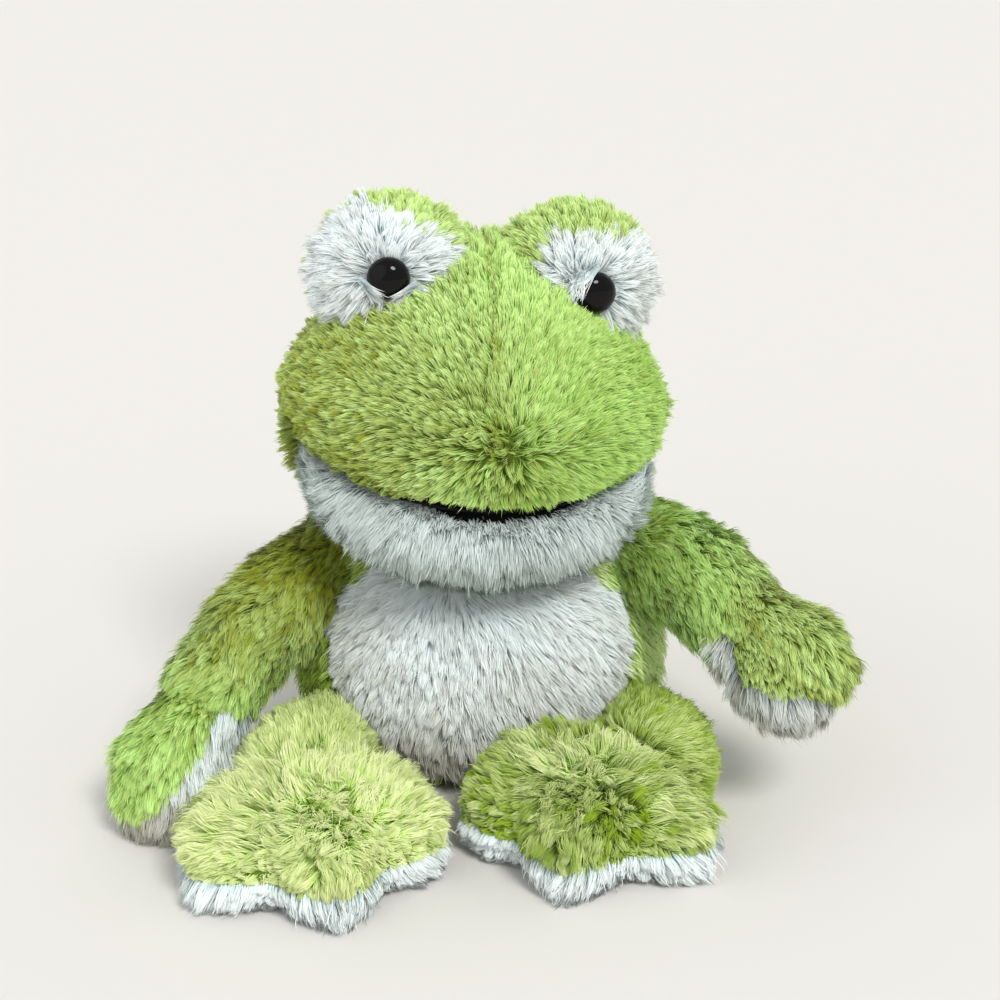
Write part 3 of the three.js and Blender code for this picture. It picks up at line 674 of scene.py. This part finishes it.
def strandPaths(places, normals, flows, lengths, lifts, droop):
    paths = np.empty((len(places), 4, 3))
    runs = lengths * np.sqrt(1 - lifts**2)
    for level, share in enumerate(strandLevels):
        rise = lengths * lifts * math.sin(share * math.pi / 2) - rootDepth * (1 - share)
        paths[:, level] = (places + flows * (runs * share)[:, None] + normals * rise[:, None]
                           - up * (droop * lengths * share**2)[:, None])
    return paths


def nearestGuides(places, guides):
    tree = KDTree(len(guides))
    for index in guides:
        tree.insert(places[index], int(index))
    tree.balance()
    return np.array([tree.find(place)[1] for place in places])


def growStrands(cloth, grown, flows, lengths, lifts, turns, tones, s, rng):
    places, normals, flows, lengths, lifts, turns, tones = (
        values[grown] for values in (cloth["co"], cloth["normals"], flows, lengths, lifts, turns, tones))
    count = len(places)
    lifts = np.clip(lifts * (1 + s["liftSpread"] * rng.uniform(-1, 1, count)), *s["tuftLifts"])
    turns = s["wave"] * patchy(places, s["waveSize"]) + turns * rng.normal(0, 1, count)
    flows = turned(flows, normals, turns)
    guides = np.flatnonzero(rng.random(count) < s["guideShare"])
    nearest = nearestGuides(places, guides)
    tuftTones = tones[nearest] + rng.normal(0, s["tuftTone"], count)[nearest]
    guidePaths = strandPaths(places, normals, flows, lengths, lifts, s["droop"])[nearest]

    pick = np.repeat(np.arange(count), s["strands"])
    total = len(pick)
    across = np.cross(normals, flows)
    shift = rng.uniform(-s["scatter"], s["scatter"], (2, total, 1))
    roots = places[pick] + flows[pick] * shift[0] + across[pick] * shift[1]
    stray = rng.random(total) < s["strays"]
    own = lengths[pick] * rng.uniform(*s["strandLengths"], total) * np.where(stray, s["strayLength"], 1)
    strandFlows = turned(flows[pick], normals[pick], rng.normal(0, 2 * s["wild"], total))
    strandLifts = np.clip(lifts[pick] + rng.normal(0, s["wild"], total), *s["strandLifts"])
    paths = strandPaths(roots, normals[pick], strandFlows, own, strandLifts, s["droop"])
    gather = s["gather"] * rng.uniform(*s["gatherSpread"], total) * np.where(stray, s["strayGather"], 1)
    for level, share in enumerate(strandLevels):
        pull = (gather * share ** s["gatherCurve"])[:, None]
        paths[:, level] += pull * (guidePaths[pick, level] - paths[:, level])
    paths[..., 2] = np.maximum(paths[..., 2], rng.uniform(*s["groundGap"], total)[:, None] * mm)
    way = unit(paths[:, 3] - paths[:, 0])
    face = normals[pick] + across[pick] * rng.normal(0, s["faceTurn"], total)[:, None]
    sideways = unit(np.cross(way, face))
    strandNormals = unit(s["softness"] * normals[pick] + (1 - s["softness"]) * unit(np.cross(sideways, way))
                         + s["facingUp"] * up)
    return paths, sideways, strandNormals, tuftTones[pick] + rng.normal(0, s["strandTone"], total)


def pileMesh(name, paths, sideways, normals, tones, width, material):
    # 7 points to a strand, three pairs and a tip, in two quads and a triangle, so 11 corners
    count = len(paths)
    points = np.empty((count, 7, 3), np.float32)
    half = sideways[:, None] * (width * strandWidths / 2)[None, :, None]
    points[:, 0:6:2] = paths[:, :3] - half
    points[:, 1:6:2] = paths[:, :3] + half
    points[:, 6] = paths[:, 3]
    corners = np.array([0, 1, 3, 2, 2, 3, 5, 4, 4, 5, 6])
    loops = (np.arange(count)[:, None] * 7 + corners).ravel()
    starts = (np.arange(count)[:, None] * 11 + np.array([0, 4, 8])).ravel()
    mesh = bpy.data.meshes.new(name)
    mesh.vertices.add(count * 7)
    mesh.vertices.foreach_set("co", points.ravel())
    mesh.loops.add(len(loops))
    mesh.loops.foreach_set("vertex_index", loops.astype(np.int32))
    mesh.polygons.add(len(starts))
    mesh.polygons.foreach_set("loop_start", starts.astype(np.int32))
    mesh.update(calc_edges=True)
    mesh.polygons.foreach_set("use_smooth", [True] * len(starts))
    along = np.array([0, 0, 1, 1, 2, 2, 3])[corners]
    aside = np.array([-1, 1, -1, 1, -1, 1, 0])[corners] * 0.006
    uv = np.empty((count, 11, 2), np.float32)
    uv[:, :, 0] = strandLevels[along]
    uv[:, :, 1] = np.clip(tones, 0.01, 0.99)[:, None] + aside
    layer = mesh.uv_layers.new(name="OFBake")
    layer.data.foreach_set("uv", uv.ravel())
    mesh.normals_split_custom_set_from_vertices(np.repeat(normals, 7, axis=0))
    mesh.materials.append(material)
    return mesh


def growPile(name, piece, colours, seed, comb, tone, trim=lambda places: 1, stand=lambda places: 0,
             mess=lambda places: 0, mix=None, **settings):
    # comb gives the way, tone the shade, trim a share of the length, stand an added lift, mess an added
    # turn, and mix the share of strands that take the second of two colours
    s = {**pileDefaults, **settings}
    rng = np.random.default_rng(seed)
    cloth = clothPieces[piece]
    places, normals = cloth["co"], cloth["normals"]
    flows = comb(places)
    flows = unit(flows - normals * (flows * normals).sum(1, keepdims=True) + 1e-6)
    lengths = s["length"] * (1 + s["lengthSpread"] * rng.uniform(-1, 1, len(places))) * trim(places)
    lifts = np.full(len(places), s["lift"]) + stand(places)
    turns = np.full(len(places), s["turn"]) + mess(places)
    above = room(places + normals * s["overFrom"], normals, lengths)
    leaning = unit(flows * (1 - lifts)[:, None] + normals * lifts[:, None])
    ahead = room(places + normals * s["aheadFrom"], leaning, lengths)
    lengths = np.minimum(lengths, np.minimum(above * s["overRoom"], np.maximum(ahead, 0) * s["aheadRoom"]))
    resting = (places[:, 2] < s["restHeight"]) & (normals[:, 2] < s["restTilt"])
    grown = (above > s["leastRoom"]) & (lengths > s["shortest"]) & ~resting
    parts = growStrands(cloth, grown, flows, lengths, lifts, turns, tone(places), s, rng)
    if mix is None:
        second = np.zeros(len(parts[0]), bool)
    else:
        second = rng.random(len(parts[0])) < np.repeat(mix(places[grown]), s["strands"])
    for shade, mine in zip(colours, (~second, second)):
        order = np.flatnonzero(mine)
        order = order[np.argsort(parts[0][order, 0, 0], kind="stable")]
        pieces = math.ceil(len(order) / strandLimit)
        for number, chosen in enumerate(np.array_split(order, pieces)):
            label = name + shade.split()[0].capitalize() + str(number + 1)
            mesh = pileMesh(label, *(part[chosen] for part in parts), s["width"], pileMaterials[shade])
            addPiece(label, mesh, cloth["body"])
            strandCounts.append(len(chosen))
    print("pile", name, int(grown.sum()), "points", len(parts[0]), "strands")


# Which way the pile is combed

def bell(values, width):
    return np.exp(-(values / width) ** 2)


def combRadial(centre, sink=0.0):
    def comb(places):
        return unit(places - centre) - up * sink
    return comb


def combAlong(line):
    # along the nearest stretch of a line of points
    starts, ends = line[:-1], line[1:]
    ways = unit(ends - starts)

    def comb(places):
        gaps = np.linalg.norm(places[:, None] - ((starts + ends) / 2)[None], axis=2)
        weight = np.exp(-(gaps - gaps.min(1, keepdims=True)) / (8 * mm))
        return unit((weight[..., None] * ways[None]).sum(1)) - up * 0.15
    return comb


def tonesBy(axis, stops, tones, wander=0.12, size=12 * mm):
    # tones read off along one axis in millimetres, with soft patches over them
    def tone(places):
        return np.interp(places[:, axis] / mm, stops, tones) + wander * patchy(places, size)
    return tone


# Pile of the head

noseWhorl = np.array([4, -66, 44]) * mm
noseMiddle = (4, 42)  # the whorl as seen from in front, in millimetres


def combHead(places):
    # away from the whorl at the nose, and down the back of the head
    away = unit(toHead(places) - noseWhorl)
    behind = ease(toHead(places)[:, 1], -10 * mm, 35 * mm)
    return fromHead(away) - up * behind[:, None]


def parting(places):
    # the seam shows as a line between the brows and above the nose
    x, _, z = toHead(places).T / mm
    return bell(x, 1.6) * np.maximum(ease(z, 66, 76), 0.6 * (1 - ease(z, 56, 62)) * ease(z, 40, 46))


def nearNose(places, width=11):
    x, _, z = toHead(places).T / mm
    return bell(np.hypot(x - noseMiddle[0], z - noseMiddle[1]), width)


def headTone(places):
    # palest near the middle and darker toward the sides, most on the toy's right, as painted shade; lighter
    # at the top as painted light, darker low down as painted shade, and darker at the whorl and on the
    # parting
    x, _, z = toHead(places).T / mm
    tone = np.interp(x, [-75, -45, -15, 15, 45, 70], [0.28, 0.42, 0.80, 0.62, 0.58, 0.46])
    tone += 0.22 * ease(z, 66, 98) - 0.30 * nearNose(places, 15) - 0.5 * parting(places)
    return tone - 0.10 * ease(-z, -42, -26) + 0.13 * patchy(places, 11 * mm)


def headMix(places):
    # the share of the lit green pile, painted cool light, grows toward the toy's left
    return ease(toHead(places)[:, 0] + 9 * mm * patchy(places, 14 * mm), -26 * mm, 44 * mm) * 0.85


def trimHead(places):
    # short at the lip, so that the mouth shows, at the whorl and on the parting
    lip = 1 - (0.45 + 0.3 * inMouth(places)) * (1 - ease(apartFrom("mouth_lining", places), 3 * mm, 10 * mm))
    return lip * (1 - 0.3 * nearNose(places, 8) - 0.5 * parting(places))


def standHead(places):
    return 0.25 * nearNose(places)


def messHead(places):
    return 0.5 * nearNose(places)


def fromMouth(places):
    # how far each place lies from the edge of the lining that shows
    return apartFrom("mouth_lining", places) - 4 * mm * inMouth(places)


def combJaw(places):
    # down from the mouth, and up and out at its corners
    away = unit(places - np.array([-5, -28, 124]) * mm)
    corner = ease(np.abs(places[:, 0] + 3 * mm), 42 * mm, 58 * mm)
    return away + up * (1.1 * corner - 0.2)[:, None]


def jawTone(places):
    # dull below, and toward the toy's right, as painted shade
    x, _, z = toHead(places).T / mm
    return (np.interp(z, [-10, 0, 8, 16, 26], [0.0, 0.0, 0.24, 0.52, 0.52])
            - 0.12 * ease(-x, 36, 58) + 0.08 * patchy(places, 10 * mm))


def trimJaw(places):
    # short at the edge of the lining, and a little shorter low down
    low = 1 - 0.25 * (1 - ease(toHead(places)[:, 2], -2 * mm, 12 * mm))
    return low * (1 - 0.55 * (1 - ease(fromMouth(places), 0, 6 * mm)))


def standJaw(places):
    # the pile stands up at the edge of the lining
    return 0.4 * (1 - ease(fromMouth(places), 0, 5 * mm))


firstSeeds = {"Right": 100, "Left": 200}
headPiles = {
    "Right": {"length": 7.2 * mm, "lift": 0.58, "guideShare": 0.7, "softness": 0.4,
              "wave": 0.36, "waveSize": 8 * mm, "tuftTone": 0.19, "lengthSpread": 0.26},
    "Left": {"length": 8.5 * mm, "lift": 0.5, "guideShare": 0.4, "softness": 0.6,
             "wave": 0.4, "waveSize": 13 * mm, "tuftTone": 0.1, "gather": 0.65},
}
for sideName, settings in headPiles.items():
    growPile("headPile" + sideName, "headSkin" + sideName, ["green pile", "fresh pile"],
             firstSeeds[sideName] + 1, combHead, headTone, trimHead, standHead, messHead, headMix, **settings)
growPile("jawPile", "jawSkin", ["cool pile"], 33, combJaw, jawTone, trimJaw, standJaw,
         strands=14, scatter=1.9 * mm, width=0.26 * mm, length=10 * mm, lift=0.42, liftSpread=0.25,
         guideShare=0.3, gather=0.5, turn=0.08, wave=0.12, wild=0.05, tuftTone=0.06)

patchTones = {"Right": [0.86, 0.95, 1.0], "Left": [0.86, 0.84, 0.75]}

# Locks that lie over the rim of an eye. Each has the way from the eye's middle out to the lock, and the
# way it is combed, to the right and up as seen from in front.
eyeLocks = {
    "Right": [((-0.68, -0.73), (0.73, -0.68)), ((0.70, -0.72), (-0.72, -0.70))],
    "Left": [((-0.97, 0.24), (-0.24, -0.97)), ((-0.66, 0.75), (-0.75, -0.66))],
}
lockShape = {
    "strands": 56, "offsets": (0.80, 1.15), "reach": 6.5 * mm, "starts": (0.6, 1.1), "ends": (0.3, 1.0),
    "clear": 0.45 * mm, "bend": 1.5 * mm, "width": 0.27 * mm, "tone": 0.9, "toneSpread": 0.08,
    "facingUp": 0.4,
}


def makeLock(name, side, outward, combed, s, rng):
    seat, gaze = eyeSeat(side)
    rightward = unit(np.cross(up, gaze))
    plane = np.array([rightward, np.cross(gaze, rightward)])
    count = s["strands"]
    offsets = eyeShape["radius"] * rng.uniform(*s["offsets"], count)
    starts = -s["reach"] * rng.uniform(*s["starts"], count)
    ends = s["reach"] * rng.uniform(*s["ends"], count)
    bends = s["bend"] * rng.normal(0, 1, count)
    paths = np.empty((count, 4, 3))
    for level, share in enumerate(strandLevels):
        aside = offsets + bends * share * share
        along = starts + (ends - starts) * share
        flat = aside[:, None] * np.array(outward) + along[:, None] * np.array(combed)
        inward = np.clip(np.linalg.norm(flat, axis=1) / eyeShape["radius"], 0, 1) ** (1 / eyeShape["square"])
        height = eyeShape["rim"] + (eyeShape["bulge"] - eyeShape["rim"]) * np.sqrt(1 - inward**2) + s["clear"]
        paths[:, level] = fromHead(seat + flat @ plane + height[:, None] * gaze) + headFrame["neck"]
    facing = np.tile(fromHead(gaze), (count, 1))
    sideways = unit(np.cross(paths[:, 3] - paths[:, 0], facing))
    tones = s["tone"] + rng.normal(0, s["toneSpread"], count)
    mesh = pileMesh(name, paths, sideways, unit(facing + s["facingUp"] * up), tones, s["width"],
                    pileMaterials["white pile"])
    addPiece(name, mesh, "head")


def dressEye(sideName, side, seed):
    # the piles of one patch and mound, and the locks over its eye
    eyePlace = fromHead(eyeSeat(side)[0]) + headFrame["neck"]

    def trimPatch(places):
        # none under the eye, and short round it and on the inner side of the left patch
        clear = ease(np.linalg.norm(places - eyePlace, axis=1), 6.2 * mm, 9 * mm)
        inner = 1 - 0.4 * ease(-places[:, 0], -30 * mm, -20 * mm) * (places[:, 0] > 0)
        return (0.35 + 0.65 * clear) * (clear > 0) * inner

    growPile("eyePatchPile" + sideName, "eyePatch" + sideName, ["white pile"], seed + 2,
             combRadial(eyePlace), tonesBy(2, [175, 195, 215], patchTones[sideName]), trimPatch,
             strands=13, length=9 * mm, guideShare=0.3, wave=0.35, lengthSpread=0.28, softness=0.7)
    growPile("eyeMoundPile" + sideName, "eyeMound" + sideName, ["green pile"], seed + 3,
             combRadial(eyePlace, -0.1), tonesBy(2, [175, 215], [0.65, 0.9]), length=8 * mm, lift=0.55,
             guideShare=0.35, lengthSpread=0.28)
    for number, (outward, combed) in enumerate(eyeLocks[sideName]):
        makeLock("eyeLock" + sideName + str(number + 1), side, outward, combed, lockShape,
                 np.random.default_rng(seed + 9 + number))


for sideName, side in sides.items():
    dressEye(sideName, side, firstSeeds[sideName])


# Pile of the body and limbs

limbLines = {
    "Right": np.array([[-51, -6, 82], [-79, -30, 66], [-101, -58, 43], [-112, -74, 21.5],
                       [-117, -82, 0]]) * mm,
    "Left": np.array([[52, -6, 86], [80, -32, 79.5], [93.6, -51, 71], [108, -66.5, 62], [119, -78, 48]]) * mm,
}
wrists = {
    "Right": {"depth": 1, "place": np.array([-98.6, -72.4, 46.8]) * mm,
              "way": unit(np.array([-0.4, -0.45, -0.8]))},
    "Left": {"depth": 0.5, "place": np.array([94, -60, 70]) * mm,
             "way": unit(np.array([0.8, -0.5, -0.1]))},
}
wristWidth = 5 * mm
combPalms = {
    "Right": lambda places: np.tile([-0.25, -0.5, -0.85], (len(places), 1)),
    "Left": combRadial(np.array([101, -54, 82]) * mm, 0.2),
}
armTones = {
    "Right": tonesBy(2, [5, 30, 50, 68, 84], [0.60, 0.76, 0.76, 0.36, 0.05]),
    "Left": tonesBy(0, [50, 75, 100, 125], [0.42, 0.74, 0.60, 0.45]),
}
# the right palm's tone falls into painted shade at its bottom fringe and rises to painted light above; the
# left palm's rises with height
palmTones = {
    "Right": tonesBy(2, [8, 18, 28], [0.0, 0.10, 1.05], 0.05),
    "Left": tonesBy(2, [42, 52, 62], [0.12, 0.26, 0.42], 0.25, 7 * mm),
}
# the share of the lit green pile, painted cool light: low on the right arm, and on the left arm away from its
# hand
armMixes = {
    "Right": lambda places: 0.6 * ease(-places[:, 2], -66 * mm, -44 * mm),
    "Left": lambda places: 0.6 - 0.6 * ease(places[:, 0], 76 * mm, 98 * mm),
}
# tone: of the leg, then of the foot; the toy's right foot and leg are lighter as painted light, the left ones
# darker as painted shade
feet = {
    "Right": {"middle": [-60, -99], "turn": 15, "whorl": [-50, -120, 18], "tone": (0.6, 0.98), "wander": 0.1},
    "Left": {"middle": [39, -81], "turn": -14, "whorl": [38, -98, 22], "tone": (0.25, 0.46), "wander": 0.18},
}


def nearWrist(places, sideName):
    wrist = wrists[sideName]
    return wrist["depth"] * bell((places - wrist["place"]) @ wrist["way"], wristWidth)


def nearWhorl(places, foot, width=13):
    return bell(np.linalg.norm(places[:, :2] / mm - foot["whorl"][:2], axis=1), width)


def combFoot(foot):
    # away from the whorl, where the strands lean forward over it
    away = combRadial(np.array(foot["whorl"]) * mm)

    def comb(places):
        return away(places) - 1.3 * nearWhorl(places, foot, 9)[:, None] * np.array([0, 1, 0])
    return comb


def betweenToes(places, foot):
    # 1 at the rim between two toes, which lie 60 degrees apart, 0 along a toe and further in
    aside = places[:, 0] / mm - foot["middle"][0]
    ahead = foot["middle"][1] - places[:, 1] / mm
    turn = np.degrees(np.arctan2(aside, ahead)) - foot["turn"]
    return ((1 - np.cos(np.radians(turn * 6))) / 2 * ease(np.hypot(aside, ahead), 20, 38)
            * (np.abs(turn) < 90))


def growLimbs(sideName, seed):
    # the piles of one arm, palm, leg, foot and sole
    foot = feet[sideName]
    tail = sideName.lower()

    def armTone(places):
        # painted shade in the crease of the wrist
        return armTones[sideName](places) - 0.3 * nearWrist(places, sideName)

    def trimArm(places):
        # short at the palm, near the ground and in the crease of the wrist
        palm = 0.45 + 0.55 * ease(apartFrom("palm_" + tail, places), 2 * mm, 8 * mm)
        low = 0.5 + 0.5 * ease(places[:, 2], 10 * mm, 20 * mm)
        return palm * low * (1 - 0.65 * nearWrist(places, sideName))

    def footTone(places):
        # painted shade between the toes, and painted light at the whorl where the pile parts
        return (foot["tone"][1] - 0.25 * betweenToes(places, foot) + 0.35 * nearWhorl(places, foot)
                + foot["wander"] * patchy(places, 11 * mm))

    def trimFoot(places):
        # short at the rim and the ankle, where the feet meet, between toes and at the whorl
        rim = 0.35 + 0.65 * ease(places[:, 2], 14 * mm, 23 * mm)
        ankle = 0.45 + 0.55 * ease(apartFrom("leg_skin_" + tail, places), 2 * mm, 16 * mm)
        gap = 1 - 0.6 * bell(places[:, 0] + 8 * mm, 13 * mm)
        whorl = 1 - 0.4 * nearWhorl(places, foot)
        return rim * gap * ankle * (1 - 0.6 * betweenToes(places, foot)) * whorl

    def trimSole(places):
        return (1 - 0.65 * betweenToes(places, foot)) * (1 - 0.6 * bell(places[:, 0] + 8 * mm, 16 * mm))

    growPile("armPile" + sideName, "armSkin" + sideName, ["green pile", "fresh pile"], seed + 4,
             combAlong(limbLines[sideName]), armTone, trimArm, mix=armMixes[sideName],
             length=9.5 * mm, lift=0.45, guideShare=0.36, wave=0.5, waveSize=10 * mm, tuftTone=0.17,
             lengthSpread=0.25)
    growPile("palmPile" + sideName, "palm" + sideName, ["white pile"], seed + 5,
             combPalms[sideName], palmTones[sideName],
             length=10 * mm, lift=0.45, guideShare=0.25, gather=0.7, softness=0.65, lengthSpread=0.3)
    growPile("legPile" + sideName, "legSkin" + sideName, ["lime pile"], seed + 6,
             combRadial(np.array(foot["whorl"]) * mm, 0.1),
             lambda places: foot["tone"][0] + 0.1 * patchy(places, 12 * mm),
             length=8.5 * mm, lift=0.5, guideShare=0.5, strands=9)
    growPile("footPile" + sideName, "footTop" + sideName, ["lime pile"], seed + 7,
             combFoot(foot), footTone, trimFoot,
             lambda places: 0.15 * nearWhorl(places, foot), lambda places: 0.7 * nearWhorl(places, foot),
             strands=13, length=12.5 * mm, lift=0.6, guideShare=0.22, wave=0.55, waveSize=8 * mm, turn=0.3,
             lengthSpread=0.32, tuftTone=0.2, facingUp=0.9)
    growPile("solePile" + sideName, "sole" + sideName, ["pale pile"], seed + 8,
             combRadial(np.array([*foot["middle"], 24]) * mm, 0.3), tonesBy(2, [0, 13], [0.95, 1.15]),
             trimSole, length=11 * mm, lift=0.72, strands=16, guideShare=0.2, gather=0.65, liftSpread=0.25,
             facingUp=0.9)


for sideName in sides:
    growLimbs(sideName, firstSeeds[sideName])


def bellyTone(places):
    # pale at the top as painted light, and duller low down and toward the toy's right as painted shade
    x, _, z = places.T / mm
    return (np.interp(z, [8, 25, 42, 62, 80, 96], [0.05, 0.22, 0.66, 0.86, 0.95, 1.0])
            - 0.22 * ease(-x, 22, 48) + 0.12 * patchy(places, 12 * mm))


def trimBelly(places):
    return 0.4 + 0.6 * ease(apartFrom("torso_skin", places) - bellyEdge(places), 0, 8 * mm)


# the body's side: painted shade darkens it toward the toy's right and painted light brightens it toward the
# left, where the lit green pile mixes in
growPile("torsoPile", "torsoSkin", ["lime pile", "fresh pile"], 31,
         lambda places: np.sign(places) * [0.5, 0, 0] - up, tonesBy(0, [-65, 0, 60], [0.02, 0.4, 1.05]),
         mix=lambda places: 0.5 * ease(places[:, 0], 0, 50 * mm),
         length=9.5 * mm, lift=0.5, strands=7, width=0.42 * mm)
growPile("bellyPile", "bellyPanel", ["pale pile"], 32, combRadial(np.array([-12, -34, 84]) * mm, 0.2),
         bellyTone, trimBelly,
         strands=13, length=10 * mm, guideShare=0.35, gather=0.75, tuftTone=0.1, facingUp=0.4)
print("pile grown:", sum(strandCounts), "strands")


# Floor, world and lamps

studio = {
    "floorRadius": 8.0,
    "floorSides": 96,
    "floorColour": colour(230, 228, 224),
    "floorRough": 0.9,
    "backColour": colour(238, 236, 232),
    "worldStrength": 0.6,
    "lampTarget": (0, -0.04, 0.1),
    "lamps": {
        "keyLamp": {"place": (0.45, -1.0, 1.2), "spread": 18, "strength": 2.0, "colour": (1.0, 0.985, 0.96)},
        "fillLamp": {"place": (-1.0, -0.9, 0.7), "spread": 70, "strength": 0.6, "colour": (0.96, 0.98, 1.0)},
    },
}


def makeStudio(s):
    bpy.ops.mesh.primitive_circle_add(vertices=s["floorSides"], radius=s["floorRadius"], fill_type="NGON")
    floor = bpy.context.object
    floor.name = "floor"
    material, _, shader = newMaterial("floor paper")
    shader.inputs["Base Color"].default_value = s["floorColour"]
    shader.inputs["Roughness"].default_value = s["floorRough"]
    floor.data.materials.append(material)

    world = bpy.data.worlds.new("studio")
    scene.world = world
    world.use_nodes = True
    tree = world.node_tree
    light = tree.nodes["Background"]
    light.inputs["Color"].default_value = (1, 1, 1, 1)
    light.inputs["Strength"].default_value = s["worldStrength"]
    seen = addNode(tree, "ShaderNodeBackground")
    seen.inputs["Color"].default_value = s["backColour"]
    path = addNode(tree, "ShaderNodeLightPath")
    mix = addNode(tree, "ShaderNodeMixShader")
    tree.links.new(path.outputs["Is Camera Ray"], mix.inputs[0])
    tree.links.new(light.outputs[0], mix.inputs[1])
    tree.links.new(seen.outputs[0], mix.inputs[2])
    tree.links.new(mix.outputs[0], tree.nodes["World Output"].inputs["Surface"])

    for name, lamp in s["lamps"].items():
        data = bpy.data.lights.new(name, "SUN")
        data.angle = math.radians(lamp["spread"])
        data.energy = lamp["strength"]
        data.color = lamp["colour"]
        lampObject = bpy.data.objects.new(name, data)
        scene.collection.objects.link(lampObject)
        lampObject.location = lamp["place"]
        aim = Vector(s["lampTarget"]) - Vector(lamp["place"])
        lampObject.rotation_euler = aim.to_track_quat("-Z", "Y").to_euler()
    scene.view_settings.view_transform = "Standard"


makeStudio(studio)
print("studio ready")
